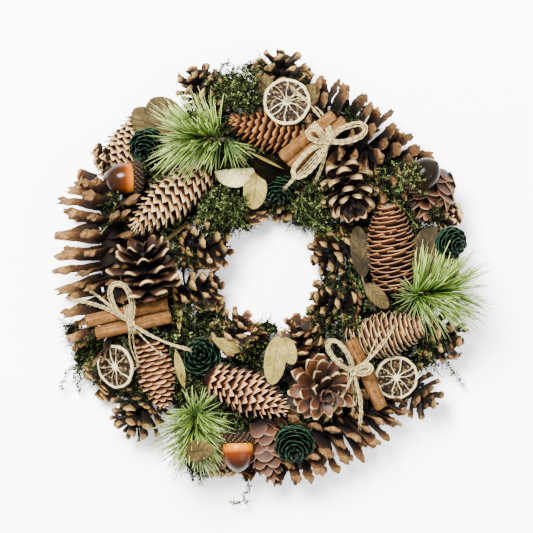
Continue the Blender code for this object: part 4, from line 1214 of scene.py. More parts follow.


# Dried pulp is dark and a little sticky, its cream flecks partly painted highlights on the crumples; its
# membranes and pith matt and cream, the rind olive.
citrusDry = newMaterial("dried_citrus_slice", {"IOR": 1.45, "Specular IOR Level": 0.05}, (
    ("pulp", "TexNoise", {"Scale": 420.0, "Detail": 4.0, "Roughness": 0.65}, {"Vector": "object"}),
    ("flesh", "ValToRGB", {"stops": (
        (0.42, "#030201"), (0.54, "#1C1208"), (0.62, "#4E3C22"), (0.7, "#857A5A"))}, {0: "pulp"}),
    ("pith", "ValToRGB", {"stops": (
        (0.0, "#948D70"), (0.9, "#979076"), (0.96, "#8E865F"), (1.0, "#6C6534"))}, {0: "reach"}),
    ("depth", "MapRange", {1: 0.12, 2: 0.5}, {0: "rim"}),
    ("Base Color", "Mix", {"data_type": "RGBA"}, {0: "depth", 6: "pith", 7: "flesh"}),
    ("Roughness", "MapRange", {3: 0.85, 4: 0.6}, {0: "depth"}),
    ("Normal", "Bump", {"Strength": 0.6, "Distance": 0.0007}, {"Height": "pulp"}),
))
for row in sliceList:
    buildSlice(row)
print("stage: slices")


# Cinnamon: bark rolled into a scroll from both edges.
bundleList = (
    {
        "name": "1", "sticks": (((282, 159), (334, 116)), ((291, 168), (345, 122))),
        "height": 100, "stand": 11, "knot": (327, 142),
        "loops": (((364, 129), 7), ((294, 177), 7), ((308, 133), 5)),
        "tails": (((312, 160), (287, 186)), ((326, 160), (316, 180))),
        "strays": (((326, 131), (319, 116), (309, 105), (298, 96), (291, 98)),
                   ((329, 131), (321, 114), (311, 103), (299, 94), (295, 91)),
                   ((328, 133), (320, 118), (310, 107), (300, 99), (290, 101)),
                   ((331, 133), (324, 116), (314, 106), (304, 98), (297, 93))),
    },
    {
        "name": "2", "sticks": (((86, 322), (168, 304)), ((96, 334), (171, 317))),
        "height": 98, "knot": (131, 323), "loops": (((117, 284), 9),), "stand": 22,
        "tails": (((104, 302), (70, 300)), ((112, 306), (90, 291)), ((160, 343), (187, 349))),
        "strays": (((133, 335), (134, 346), (138, 361)), ((129, 335), (130, 348), (136, 364)),
                   ((140, 334), (150, 345), (160, 353))),
    },
    {
        "name": "3", "sticks": (((350, 340), (381, 408)),),
        "height": 98, "knot": (353, 371), "loops": (((329, 341), 7), ((370, 367), 4)), "stand": 11,
        "tails": (((374, 357), (391, 330)), ((344, 396), (328, 417)), ((362, 396), (360, 424))),
        "strays": (((354, 382), (357, 396), (356, 410)), ((356, 382), (361, 396), (361, 409)),
                   ((352, 382), (354, 396), (353, 408)), ((362, 366), (370, 352), (377, 337))),
    },
)
stickPlan = {"radius": 5.6, "wall": 1.5, "start": -36, "turn": 425, "shrink": 0.36, "rows": 22, "steps": 52,
             "grow": 1.12}


def scroll(share, inset):
    angle = math.radians(stickPlan["start"] + stickPlan["turn"] * share)
    size = stickPlan["radius"] * (1 - stickPlan["shrink"] * share) - inset
    return size * math.cos(angle), size * math.sin(angle)


def buildStick(name, start, end):
    rng = random.Random(name)
    matrix = frameAlong((start + end) / 2, (end - start).normalized())
    length = (end - start).length
    outline = [matrix @ Vector((*scroll(k / 12, 0.0), z)) for k in range(13) for z in (-length / 2, length / 2)]
    lift = liftOf(name, outline)
    matrix = Matrix.Translation((0, 0, lift)) @ matrix
    steps, rows = stickPlan["steps"], stickPlan["rows"]
    shares = np.linspace(0, 1, steps)
    waves = [(rng.uniform(0, 6.3), rng.uniform(2, 9), rng.uniform(0.03, 0.16)) for _ in range(6)]
    points = []
    for i in range(rows):
        z = -length / 2 + length * i / (rows - 1)
        ragged = 0.5 if i in (0, rows - 1) else 0.0
        for layer in (0.0, stickPlan["wall"]):
            for share in shares if layer == 0 else shares[::-1]:
                swell = sum(h * math.sin(p + n * share * 6.28 + 0.06 * z * n / 4) for p, n, h in waves)
                x, y = (stickPlan["grow"] * v for v in scroll(share, layer - 0.25 * swell))
                points.append((x, y, z + ragged * math.sin(waves[0][0] + 17 * share) * (1 if i else -1)))
    ring = 2 * steps
    faces = ringQuads(rows, ring)
    top = (rows - 1) * ring
    for k in range(steps - 1):
        faces.append((k + 1, k, ring - 1 - k, ring - 2 - k))
        faces.append((top + k, top + k + 1, top + ring - 2 - k, top + ring - 1 - k))
    points = np.array(points)
    paint = paintOf(len(points), points[:, 2] / length + 0.5, 0.0, rng.random())
    paint[:, 1] = np.tile(np.concatenate([shares, shares[::-1]]), rows)
    # The inner layer is marked so that the material paints shade on it.
    paint[:, 3] = np.tile(np.repeat((0.0, 1.0), steps), rows)
    bag = newBag()
    pour(bag, placedBy(matrix, points), faces, paint)
    makePiece(name + "_bark", bag, [cinnamon], [name])
    return lift


# Scraped inner bark: warm orange brown with streaks along the roll, its inner face painted near black as shade
# inside the roll.
cinnamon = newMaterial("cinnamon_inner_bark", {"Roughness": 0.85, "IOR": 1.5, "Specular IOR Level": 0.08}, (
    ("grain", "TexNoise", {"Scale": 260.0, "Detail": 7.0, "Roughness": 0.7}, {"Vector": "object"}),
    ("stretch", "VectorMath", {"operation": "MULTIPLY", 1: (2.5, 46.0, 30.0)}, {0: "paint"}),
    ("streak", "TexNoise", {"Scale": 1.0, "Detail": 5.0, "Roughness": 0.65}, {"Vector": "stretch"}),
    ("both", "Mix", {"data_type": "FLOAT", 0: 0.4}, {2: "streak", 3: "grain"}),
    ("bark", "ValToRGB", {"stops": (
        (0.36, "#1B0E02"), (0.45, "#362006"), (0.54, "#503519"), (0.66, "#664B30"))}, {0: "both"}),
    # The inner face takes a near-black colour: painted shade inside the roll.
    ("Base Color", "Mix", {"data_type": "RGBA", 7: linear("#190800")}, {0: "face", 6: "bark"}),
    ("Normal", "Bump", {"Strength": 0.6, "Distance": 0.0006}, {"Height": "both"}),
))

# Twine: doubled strands, each of two plies twisted together, tied in a bow round the sticks.
twinePlan = {"cad": 1.25, "strand": 0.8, "ply": 0.46, "twist": 0.8, "step": 1.4, "sides": 4, "fuzz": 12,
             "turns": 4, "coils": 4, "fray": 16}


def layTwine(bag, path, rng):
    path = smoothPath(path, twinePlan["step"])
    ahead = unitRows(np.gradient(path, axis=0))
    side = unitRows(np.cross(ahead, (0, 0, 1.0)))
    top = np.cross(side, ahead)
    along = np.arange(len(path)) * twinePlan["step"]
    tone = rng.random()
    phase = rng.uniform(0, 6.28)
    for ply in (0, math.pi):
        turn = phase + ply + along / twinePlan["step"] * twinePlan["twist"]
        offset = (side * np.cos(turn)[:, None] + top * np.sin(turn)[:, None]) * twinePlan["ply"] * 0.85
        layTube(bag, path + offset, twinePlan["ply"], twinePlan["sides"], tone)
    for _ in range(int(len(path) * twinePlan["fuzz"] / 60)):
        i = rng.randrange(len(path) - 1)
        way = np.array(scatter(rng, 1, -0.2, 0.8))
        reach = rng.uniform(1.2, 3.6)
        start = path[i]
        fibre = [start, start + way * reach * 0.5 + ahead[i] * 0.6, start + way * reach * 0.8 + ahead[i] * 2]
        layTube(bag, fibre, (0.1, 0.09, 0.05), 3, rng.random())


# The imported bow's own height at each stop of a path.
def bowHeights(name, flat, fallback):
    corners = nodeCorners[name]
    path = []
    for p in flat:
        gaps = np.hypot(corners[:, 0] - p.x, corners[:, 1] - p.y)
        near = corners[gaps < 2.0, 2]
        path.append(Vector((p.x, p.y, near.mean() if len(near) else fallback)))
    return path


def curvePoints(stops, count):
    points = []
    for i in range(count + 1):
        share = i / count
        points.append(stops[0].lerp(stops[1], share).lerp(stops[1].lerp(stops[2], share), share))
    return points


def loopPoints(knot, far, halfWidth):
    away = far - knot
    side = leftOf(away).normalized()
    shape = ((0.0, 0.0), (0.4, 0.9), (0.85, 0.9), (1.0, 0.0), (0.85, -0.9), (0.4, -0.9), (0.0, 0.0))
    return [knot + away * along + side * halfWidth * across for along, across in shape]


def beside(path, shift, rise, rng):
    moved = []
    for i, p in enumerate(path):
        a = path[max(0, i - 1)]
        b = path[min(len(path) - 1, i + 1)]
        side = Vector((a.y - b.y, b.x - a.x, 0))
        if side.length > 0:
            side.normalize()
        wander = rng.uniform(-0.4, 0.4)
        moved.append(p + side * (shift + wander) + Vector((0, 0, rise + rng.uniform(-0.1, 0.4))))
    return moved


# The cut end frays into loose fibres.
def frayEnd(bag, path, rng):
    tip = path[-1]
    way = (path[-1] - path[-2]).normalized()
    for _ in range(twinePlan["fray"]):
        spread = Vector(scatter(rng, 1, -0.4, 0.6))
        fibre = [tip + spread * 0.5, tip + way * 2 + spread * 1.3, tip + way * rng.uniform(3, 5) + spread * 2.2]
        layTube(bag, fibre, (0.2, 0.16, 0.08), 3, rng.random())


def buildBundle(plan):
    start = plan["height"]
    rng = random.Random("bundle" + plan["name"])
    ends = [(place(a, start), place(b, start)) for a, b in plan["sticks"]]
    stem = "cinnamon_stick_" + plan["name"] + "_"
    lifts = [buildStick(stem + str(i + 1), *pair) for i, pair in enumerate(ends)]
    lift = sum(lifts) / len(lifts)
    name = "twine_bow_" + plan["name"]
    knot = place(plan["knot"], start + lift)
    ahead = (ends[0][1] - ends[0][0]).normalized()
    side = leftOf(ahead)
    offsets = [(pair[0] - place(plan["knot"], start)).dot(side) for pair in ends]
    size = stickPlan["radius"] + twinePlan["strand"] + 0.15
    low, high = min(offsets), max(offsets)
    bag = newBag()
    # The turns lie side by side round the sticks.
    for coil in range(twinePlan["turns"]):
        path = []
        for k in range(17):
            angle = math.pi / 2 - 2 * math.pi * k / 16
            centre = knot + side * (high if math.cos(angle) > 0 else low)
            if abs(math.cos(angle)) < 0.01:
                centre = knot + side * (high + low) / 2
            path.append(centre + side * size * math.cos(angle) + Vector((0, 0, size * math.sin(angle)))
                        + ahead * ((coil - 1.5) * 1.7 + rng.uniform(-0.2, 0.2)))
        layTwine(bag, path, rng)
    top = knot + Vector((0, 0, stickPlan["radius"] + twinePlan["cad"] + 1.4))
    # The knot is a short coil of the same twine across the turns.
    for k in range(twinePlan["coils"]):
        path = []
        for q in range(9):
            angle = 2 * math.pi * q / 8 + k
            path.append(top + ahead * 3.0 * math.cos(angle) * (0.6 + 0.15 * k) + side * 2.6 * math.sin(angle)
                        + Vector((0, 0, 0.5 * k - 0.2 + 1.1 * math.sin(2 * angle + k))))
        layTwine(bag, path, rng)
    for far, halfWidth in plan["loops"]:
        path = bowHeights(name, loopPoints(top, place(far, top.z), halfWidth * mmPerPoint), top.z)
        for i, p in enumerate(path):
            p.z += plan["stand"] * math.sin(math.pi * i / (len(path) - 1))
        for shift, rise in ((0.0, 0.0), (1.6, 0.2), (-1.6, 0.1)):
            layTwine(bag, beside(path, shift, rise, rng), rng)
    for tail in plan["tails"]:
        path = bowHeights(name, curvePoints([top] + [place(p, top.z) for p in tail], 4), top.z)
        for shift, rise in ((0.8, 0.0), (-0.8, 0.2)):
            layTwine(bag, beside(path, shift, rise, rng), rng)
        frayEnd(bag, path, rng)
    # Loose ends lie over whatever is under them.
    for stray in plan["strays"]:
        path = [top]
        for p in stray:
            spot = place(p)
            below = under(spot.x, spot.y)[0].z + 1.6
            path.append(Vector((spot.x, spot.y, max(min(below, top.z + 16), path[-1].z - 9))))
        layTwine(bag, beside(path, 0.0, 0.0, rng), rng)
        frayEnd(bag, path, rng)
    makePiece(name + "_strands", bag, [juteTwine], [name])


# Bleached jute: dull, pale straw, with darker flecks as painted shade where the fibres part.
juteTwine = newMaterial("jute_twine_fibre", {"Roughness": 0.9, "IOR": 1.5, "Specular IOR Level": 0.1}, (
    ("fleck", "TexNoise", {"Scale": 600.0, "Detail": 4.0}, {"Vector": "object"}),
    ("straw", "ValToRGB", {"stops": ((0.3, "#574521"), (0.5, "#857751"), (0.8, "#938A66"))}, {0: "fleck"}),
    ("value", "MapRange", {3: 0.72, 4: 1.14}, {0: "tone"}),
    ("Base Color", "HueSaturation", {}, {"Color": "straw", "Value": "value"}),
    ("Normal", "Bump", {"Strength": 0.5, "Distance": 0.0002}, {"Height": "fleck"}),
))
for plan in bundleList:
    buildBundle(plan)
print("stage: cinnamon and twine")


# Leaves: thin, arched, folded at the midrib, with side veins pressed in.
leafPlan = {"arch": 3.0, "fold": 1.6, "rows": 23, "columns": 11, "thickness": 0.5, "ripple": 0.35}
leafShapes = {
    "round": (
        (0, 0.1), (0.04, 0.34), (0.1, 0.56), (0.2, 0.8), (0.35, 0.96), (0.5, 1.0), (0.65, 0.95), (0.8, 0.8),
        (0.9, 0.6), (0.96, 0.38), (1, 0.1)),
    "narrow": (
        (0, 0.1), (0.15, 0.5), (0.35, 0.9), (0.5, 1.0), (0.7, 0.8), (0.88, 0.4), (1, 0.04)),
}


def layLeaf(bag, base, tip, halfWidth, shape, rng, slot=0):
    away = tip - base
    side = leftOf(away).normalized()
    up = side.cross(away).normalized()
    up *= math.copysign(1, up.z)
    along = 0.5 - 0.5 * np.cos(np.linspace(0, math.pi, leafPlan["rows"]))
    # A leaf folded over along its midrib shows one half only.
    across = np.linspace(-0.06 if shape == "half" else -1, 1, leafPlan["columns"])
    wide = np.interp(along, *zip(*leafShapes["round" if shape == "half" else shape]))
    s, v = np.meshgrid(along, across, indexing="ij")
    w = wide[:, None]
    veins = np.abs(((s * 9 - np.abs(v) * 1.6) % 1) - 0.5)
    ripple = leafPlan["ripple"] * (veins - 0.25) + 0.5 * np.sin(3 * s * 6.28 + rng.uniform(0, 6)) * v ** 2
    height = leafPlan["arch"] * np.sin(math.pi * s) + leafPlan["fold"] * np.abs(v) * w + ripple
    base, away, side, up = (np.array(tuple(q)) for q in (base, away, side, up))
    points = base + s[..., None] * away + (v * w * halfWidth)[..., None] * side + height[..., None] * up
    points = points.reshape(-1, 3)
    half = up * leafPlan["thickness"] / 2
    count = len(points)
    rows, columns = leafPlan["rows"], leafPlan["columns"]
    faces = []
    for i in range(rows - 1):
        for j in range(columns - 1):
            a = i * columns + j
            faces.append((a, a + 1, a + columns + 1, a + columns))
            faces.append((count + a + columns, count + a + columns + 1, count + a + 1, count + a))
        for a, flip in ((i * columns, False), (i * columns + columns - 1, True)):
            wall = (a, a + columns, count + a + columns, count + a)
            faces.append(wall[::-1] if flip else wall)
    for j in range(columns - 1):
        faces.append((j + 1, j, count + j, count + j + 1))
        a = (rows - 1) * columns + j
        faces.append((a, a + 1, count + a + 1, count + a))
    paint = np.stack([s.ravel(), np.abs(v).ravel(), np.full(count, rng.random()), veins.ravel()], axis=1)
    pour(bag, np.concatenate([points + half, points - half]), faces, np.tile(paint, (2, 1)), slot)


# Node, height, then each leaf: base, tip and rise as packed, then base, tip, half width in points, shape and
# look as drawn here.
leafNodes = (
    ("leaf_sprig_1", 84, (
        ((184, 152), (151, 98), 4, ((184, 152), (151, 97), 22, "round", "olive")),
        ((162, 142), (133, 108), -2, ((162, 142), (133, 107), 14, "round", "olive")))),
    ("leaf_sprig_2", 70, (
        ((424, 274), (429, 226), 8, ((424, 276), (430, 226), 15, "round", "deep")),)),
    ("leaf_sprig_3", 80, (
        ((256, 168), (216, 184), 3, ((255, 168), (214, 171), 18, "half", "pale")),
        ((257, 174), (252, 212), 3, ((257, 172), (253, 209), 12, "round", "straw")))),
    ("leaf_sprig_4", 80, (
        ((362, 276), (355, 230), 3, ((364, 277), (357, 226), 10, "round", "deep")),
        ((366, 290), (382, 312), 4, ((366, 284), (388, 308), 8, "round", "olive")))),
    ("leaf_sprig_5", 80, (
        ((280, 336), (271, 384), 2, ((278, 336), (272, 384), 11, "round", "straw")),
        ((284, 338), (296, 366), 4, ((284, 337), (293, 364), 8, "round", "straw")))),
)


def buildLeaves(row):
    name, height, leaves = row
    rng = random.Random(name)
    bag = newBag()
    lifts = []
    for base, tip, rise, drawn in leaves:
        middle = place(base, height).lerp(place(tip, height + rise), 0.5)
        hit = nodeTrees[name].ray_cast(Vector((middle.x, middle.y, skyHeight)), down)[0]
        if hit is not None:
            lifts.append(hit.z - 0.45 - middle.z - leafPlan["arch"])
    level = height + min(lifts)
    for number, (*_, rise, (base, tip, halfWidth, shape, _)) in enumerate(leaves):
        layLeaf(bag, place(base, level), place(tip, level + rise), halfWidth * mmPerPoint, shape, rng, number)
    if len(leaves) > 1:
        ends = [place(leaf[0], level) for leaf in (leaves[0], leaves[-1])]
        overrun = (ends[1] - ends[0]).normalized() * 2
        path = [ends[0] - overrun, ends[0].lerp(ends[1], 0.5), ends[1] + overrun]
        layTube(bag, path, 0.9, 6, 0.5, len(leaves))
    materials = [leafMaterials[drawn[4]] for *_, drawn in leaves] + [twigBark]
    makePiece(name + "_leaves", bag, materials, [name])


# Dry leaf: papery and matt, its net of veins a little apart from the blade in tone.
def leafMaterial(name, tones, veinColour, veinShare, shine=0.1):
    return newMaterial(name, {"Roughness": 0.75, "IOR": 1.45, "Specular IOR Level": shine}, (
        ("net", "TexVoronoi", {"feature": "DISTANCE_TO_EDGE", "Scale": 380.0}, {"Vector": "object"}),
        ("blotch", "TexNoise", {"Scale": 90.0, "Detail": 5.0}, {"Vector": "object"}),
        ("blade", "ValToRGB", {"stops": tuple(zip((0.3, 0.5, 0.7), tones))}, {0: "blotch"}),
        # Side veins run out from the midrib at a slant.
        ("rows", "Math", {"operation": "MULTIPLY", 1: 6.0}, {0: "reach"}),
        ("slanted", "Math", {"operation": "MULTIPLY_ADD", 1: -1.6}, {0: "rim", 2: "rows"}),
        ("wandering", "Math", {"operation": "MULTIPLY_ADD", 1: 0.3}, {0: "blotch", 2: "slanted"}),
        ("nearVein", "Math", {"operation": "PINGPONG", 1: 0.5}, {0: "wandering"}),
        ("veins", "MapRange", {1: 0.02, 2: 0.17, 3: veinShare, 4: 0.0}, {0: "nearVein"}),
        ("veined", "Mix", {"data_type": "RGBA", 7: linear(veinColour)}, {0: "veins", 6: "blade"}),
        ("midrib", "MapRange", {1: 0.03, 2: 0.12, 3: 0.62, 4: 1.0}, {0: "rim"}),
        ("lines", "MapRange", {1: 0.0, 2: 0.09, 3: 0.6, 4: 1.06}, {0: "net"}),
        ("value", "Math", {"operation": "MULTIPLY"}, {0: "midrib", 1: "lines"}),
        ("Base Color", "HueSaturation", {}, {"Color": "veined", "Value": "value"}),
        ("Normal", "Bump", {"Strength": 0.4, "Distance": 0.0003}, {"Height": "net"}),
    ))


leafLooks = {
    "olive": (("#1F1808", "#322810", "#423619"), "#120D04", 0.75),
    # A darker copy of the olive look: painted shade for leaves that lie in shadow.
    "deep": (("#120E04", "#221B0A", "#322813"), "#0A0702", 0.7),
    "pale": (("#827A4A", "#938C5A", "#9D9767"), "#68613E", 0.4),
    "straw": (("#463C18", "#605528", "#6E6338"), "#3C3212", 0.5),
    # The near-black look is darker than a dry leaf: a dark leaf with painted shade over it.
    "brown": (("#010100", "#040301", "#0A0804"), "#53451C", 0.0, 0.01),
}
leafMaterials = {look: leafMaterial("leaf_" + look + "_dry", *values) for look, values in leafLooks.items()}
for row in leafNodes:
    buildLeaves(row)

# Single leaves: base, tip, half width in points, shape, look, rise over what is under them, and for a
# leaf tucked under a node that node's name.
looseLeaves = (
    ((276, 112), (259, 72), 10, "round", "olive", 0, "citrus_slice_1"),
    ((294, 116), (317, 84), 11, "round", "olive", 0, "citrus_slice_1"),
    ((252, 160), (290, 176), 13, "round", "brown", 17, ""),
    ((247, 151), (284, 169), 1.4, "narrow", "straw", 24, ""),
    ((179, 333), (177, 295), 4, "narrow", "straw", 12, ""),
    ((184, 389), (175, 349), 5, "narrow", "straw", 12, ""),
    ((185, 451), (214, 447), 11, "round", "olive", 16, ""),
    ((240, 474), (222, 452), 4, "narrow", "straw", 4, ""),
    ((240, 352), (212, 338), 7, "narrow", "straw", 3, ""),
    ((160, 246), (194, 217), 2, "narrow", "olive", 5, ""),
    ((112, 196), (90, 180), 6, "narrow", "olive", 3, ""),
)


def buildLooseLeaves():
    for number, (base, tip, halfWidth, shape, look, rise, owner) in enumerate(looseLeaves):
        rng = random.Random("loose" + str(number))
        bag = newBag()
        a, b = place(base), place(tip)
        if owner:
            a.z = b.z = nodeCorners[owner][:, 2].min() - 4.5
        else:
            heights = [under(p.x, p.y)[0].z for p in (a, b, a.lerp(b, 0.5))]
            a.z = max(heights[0], heights[2] - 14) + 1.0 + rise
            b.z = max(heights[1], heights[2] - 14) + 1.5 + rise
        layLeaf(bag, a, b, halfWidth * mmPerPoint, shape, rng)
        makePiece("loose_leaf_" + str(number + 1), bag, [leafMaterials[look]], None)


buildLooseLeaves()
print("stage: leaves")


# Moss: curved sprigs of tiny leaflets, set over the ring and in the gaps.
mossPlan = {
    "templates": 9, "leaflets": 10, "ringSprigs": 6600, "ringEdges": (76, 148), "patchSprigs": 160,
    "tuftSprigs": 720, "rimSprigs": 26, "rimStart": 150, "rimShare": 0.62, "bald": 0.62,
    "bare": ("acorn", "citrus", "cinnamon", "twine", "leaf"),
}
# Middle and half sizes in points, share of sprigs painted bright as highlight. A patch may hang past its
# neighbours, unless a sixth value says that it lies on them, and names what else it may cover.
mossPatches = (
    (228, 87, 27, 17, 0.9), (220, 212, 22, 26, 0.8), (246, 100, 17, 11, 0.3), (197, 313, 12, 10, 0.6, ""),
    (251, 356, 14, 11, 0.7), (342, 325, 18, 14, 0.7, ""), (395, 180, 26, 20, 1.2, ""),
    (313, 209, 20, 22, 0.8), (432, 352, 16, 12, 0.6), (90, 352, 20, 18, 0.7),
    (409, 178, 12, 17, 2.2, "acorn_3"), (267, 330, 11, 8, 2.2), (112, 205, 9, 7, 0.6, ""),
    (100, 375, 14, 12, 0.4), (200, 467, 16, 8, 0.9), (190, 263, 16, 6, 0.0), (258, 66, 12, 9, 0.8),
    (244, 216, 14, 10, 0.2), (222, 322, 9, 8, 0.2), (318, 318, 9, 8, 0.3), (330, 280, 8, 10, 0.0),
    (205, 321, 12, 10, 0.4), (346, 283, 9, 13, 0.2), (420, 361, 14, 7, 0.5), (343, 229, 9, 7, 0.2),
    (128, 392, 12, 9, 0.1), (262, 344, 9, 7, 0.4), (326, 328, 9, 7, 0.4), (72, 335, 9, 10, 0.5),
    (246, 192, 8, 10, 0.0), (272, 206, 12, 8, 0.1), (354, 275, 8, 12, 0.2), (434, 215, 9, 9, 0.0),
    (180, 398, 8, 8, 0.0), (223, 127, 8, 7, 0.1), (334, 116, 12, 8, 0.0), (352, 117, 8, 7, 0.0),
    (236, 189, 8, 8, 0.1), (300, 76, 8, 6, 0.0), (142, 397, 9, 7, 0.0), (134, 377, 7, 8, 0.0),
    (179, 256, 7, 9, 0.0), (320, 336, 7, 6, 0.2), (196, 116, 9, 8, 0.0), (204, 333, 7, 5, 0.1),
    (219, 331, 6, 6, 0.1), (120, 337, 7, 5, 0.0),
)


def sprigForm(rng):
    stem = [np.zeros(3)]
    way = np.array([0.0, 0.0, 1.0])
    bend = np.array([rng.uniform(-0.3, 0.3), rng.uniform(-0.3, 0.3), 0])
    for _ in range(2):
        way = way + 1.6 * bend
        way /= np.linalg.norm(way)
        stem.append(stem[-1] + way * 0.5)
    holder = newBag()
    layTube(holder, stem, np.linspace(0.028, 0.014, 3), 3, 0.5)
    quads = [f for f in holder["faces"] if len(f) == 4]
    points = list(np.concatenate(holder["points"]))
    paint = list(np.concatenate(holder["paint"]))
    for i in range(mossPlan["leaflets"]):
        share = 0.15 + 0.85 * i / (mossPlan["leaflets"] - 1)
        spot = np.array([np.interp(share, np.linspace(0, 1, 3), np.array(stem)[:, k]) for k in range(3)])
        angle = 2.4 * i + rng.uniform(-0.4, 0.4)
        out = np.array([math.cos(angle), math.sin(angle), rng.uniform(0.2, 0.9)])
        side = np.array([-math.sin(angle), math.cos(angle), 0.0])
        long = rng.uniform(0.12, 0.2) * (1.15 - 0.5 * share)
        wide = long * rng.uniform(0.3, 0.46)
        first = len(points)
        points += [spot, spot + out * long * 0.5 + side * wide, spot + out * long,
                   spot + out * long * 0.5 - side * wide]
        paint += [np.array([share * 0.7, 0, 0.5, 0]), np.array([share, 0, 0.5, 0]),
                  np.array([min(1, share + 0.3), 0, 0.5, 0]), np.array([share, 0, 0.5, 0])]
        quads.append((first, first + 1, first + 2, first + 3))
    return np.array(points), np.array(quads), np.array(paint)


mossForms = [sprigForm(random.Random(k)) for k in range(mossPlan["templates"])]


# Each sprig: its place, its way, its length and its tone.
def laySprigs(bag, sprigs, rng):
    for spot, way, long, tone in sprigs:
        points, quads, paint = mossForms[rng.randrange(len(mossForms))]
        spin = Matrix.Rotation(rng.uniform(0, 6.28), 3, "Z")
        turn = np.array(Vector(way).to_track_quat("Z", "Y").to_matrix() @ spin)
        placed = points * long @ turn.T + np.array(tuple(spot))
        painted = paint.copy()
        painted[:, 2] = tone
        pour(bag, placed, quads, painted)


# Dried moss: matt, painted almost black at the foot of each sprig as shade deep in the moss, yellow green at
# each tip.
mossDry = newMaterial("moss_dry_tufts", {"Roughness": 0.9, "IOR": 1.45, "Specular IOR Level": 0.05}, (
    ("depth", "ValToRGB", {"stops": (
        (0.0, "#010201"), (0.5, "#0B1205"), (0.8, "#253514"), (1.0, "#727F48"))}, {0: "reach"}),
    ("value", "MapRange", {3: 0.02, 4: 1.5}, {0: "tone"}),
    ("patch", "TexNoise", {"Scale": 60.0}, {"Vector": "object"}),
    ("hue", "MapRange", {1: 0.3, 2: 0.7, 3: 0.465, 4: 0.515}, {0: "patch"}),
    ("Base Color", "HueSaturation", {}, {"Color": "depth", "Value": "value", "Hue": "hue"}),
))


def tiltedWay(rng, normal, spread):
    way = Vector(normal) + Vector((0, 0, 0.6))
    way += Vector(scatter(rng, 1, -0.3, 0.5)) * spread
    return way.normalized()


# Most sprigs are painted dark as shade, a few painted bright as a highlight where they catch the light.
def mossTone(rng, brightShare):
    return rng.uniform(0.5, 1.0) if rng.random() < brightShare else rng.uniform(0.0, 0.2)


# The felted base of a patch: a ragged, bumpy mat that its sprigs stand in, painted near black as shade deep in
# the moss.
def layMat(bag, middle, size, rng):
    around, rings = 26, 6
    centre = place(middle)
    phases = [rng.uniform(0, 6.28) for _ in range(4)]
    points = []
    for side in (1, -1):
        for i in range(rings + 1):
            for k in range(around):
                angle = 2 * math.pi * k / around
                torn = 0.86 + 0.14 * math.sin(3 * angle + phases[0]) + 0.1 * math.sin(7 * angle + phases[1])
                share = i / rings * torn
                x = centre.x + size[0] * mmPerPoint * share * math.cos(angle)
                y = centre.y + size[1] * mmPerPoint * share * math.sin(angle)
                bump = math.sin(0.9 * x + phases[2]) * math.sin(0.8 * y + phases[3]) + rng.uniform(-0.7, 0.7)
                points.append((x, y, 15 + 2.2 * bump + side * 3.4 * math.sqrt(1 - 0.98 * (i / rings) ** 2)))
    quads = sheetQuads(rings + 1, around, closed=True)
    pour(bag, np.array(points), quads, paintOf(len(points), 0.6, 0.0, 0.08))


mossCentre = place(ringPlan["centre"])
mossQuarters = [[] for _ in range(4)]
mossTufts = {"moss_tuft_1": [], "moss_tuft_2": [], "moss_tuft_3": []}


# Sprigs that no tuft holds go to the quarter of the ring that they are in.
def addSprig(spot, sprig, owner=""):
    angle = math.atan2(spot.y - mossCentre.y, spot.x - mossCentre.x) % (2 * math.pi)
    mossTufts.get(owner, mossQuarters[int(angle / (math.pi / 2)) % 4]).append(sprig)


def coverRing(rng):
    inner, outer = mossPlan["ringEdges"]
    for _ in range(mossPlan["ringSprigs"]):
        angle = rng.uniform(0, 2 * math.pi)
        out = math.sqrt(rng.uniform(inner ** 2, outer ** 2))
        spot, normal, owner = under(mossCentre.x + out * math.cos(angle), mossCentre.y + out * math.sin(angle))
        if owner == "vine_ring" and spot.z > 6:
            long = rng.uniform(7, 15) + 7 * min(1, max(0, min(out - inner, outer - out) / 12))
            tone = mossTone(rng, 0.05)
            addSprig(spot, (spot - normal * 1.0, tiltedWay(rng, normal, 0.8), long, tone))


# Past the rim a mat is seen from its side, so sprigs hang all round it.
def hangSprigs(middle, size, rng):
    count = mossPlan["rimSprigs"]
    for k in range(count):
        ray = flatRay(2 * math.pi * (k + rng.random()) / count)
        spot = Vector((middle.x, middle.y, rng.uniform(11, 18)))
        spot += Vector((ray.x * size[0], ray.y * size[1], 0)) * (mossPlan["rimShare"] * mmPerPoint)
        way = (ray + Vector((0, 0, rng.uniform(-1.3, 0.4)))).normalized()
        addSprig(spot, (spot, way, rng.uniform(6, 9), rng.uniform(0.05, 0.5)))


def fillPatch(middle, size, bright, also, rng):
    for _ in range(int(mossPlan["patchSprigs"] * size[0] * size[1] / 200)):
        angle, share = rng.uniform(0, 2 * math.pi), math.sqrt(rng.random())
        share *= 1 + 0.28 * math.sin(3 * angle + middle[0]) + 0.2 * math.sin(7 * angle + middle[1])
        p = placeIn(middle, size, share, angle)
        if math.sin(0.42 * p.x + middle[1]) * math.sin(0.37 * p.y + middle[0]) > mossPlan["bald"]:
            continue
        spot, normal, owner = under(p.x, p.y)
        if owner == "" and also == "past":
            # Deep sprigs, painted near black as shade, lie crosswise and close the gap down to the floor.
            if rng.random() < 0.5:
                way = Vector((rng.uniform(-1, 1), rng.uniform(-1, 1), 0.2)).normalized()
                addSprig(p, (Vector((p.x, p.y, rng.uniform(9, 18))), way, rng.uniform(9, 15), 0.04))
            spot, normal = Vector((p.x, p.y, rng.uniform(14, 26))), Vector((0, 0, 1))
        elif owner == "" or owner != also and owner.startswith(mossPlan["bare"]):
            continue
        way = tiltedWay(rng, normal, 0.7)
        addSprig(p, (spot - normal * 0.6, way, rng.uniform(6, 11), mossTone(rng, 0.2 * bright)), owner)


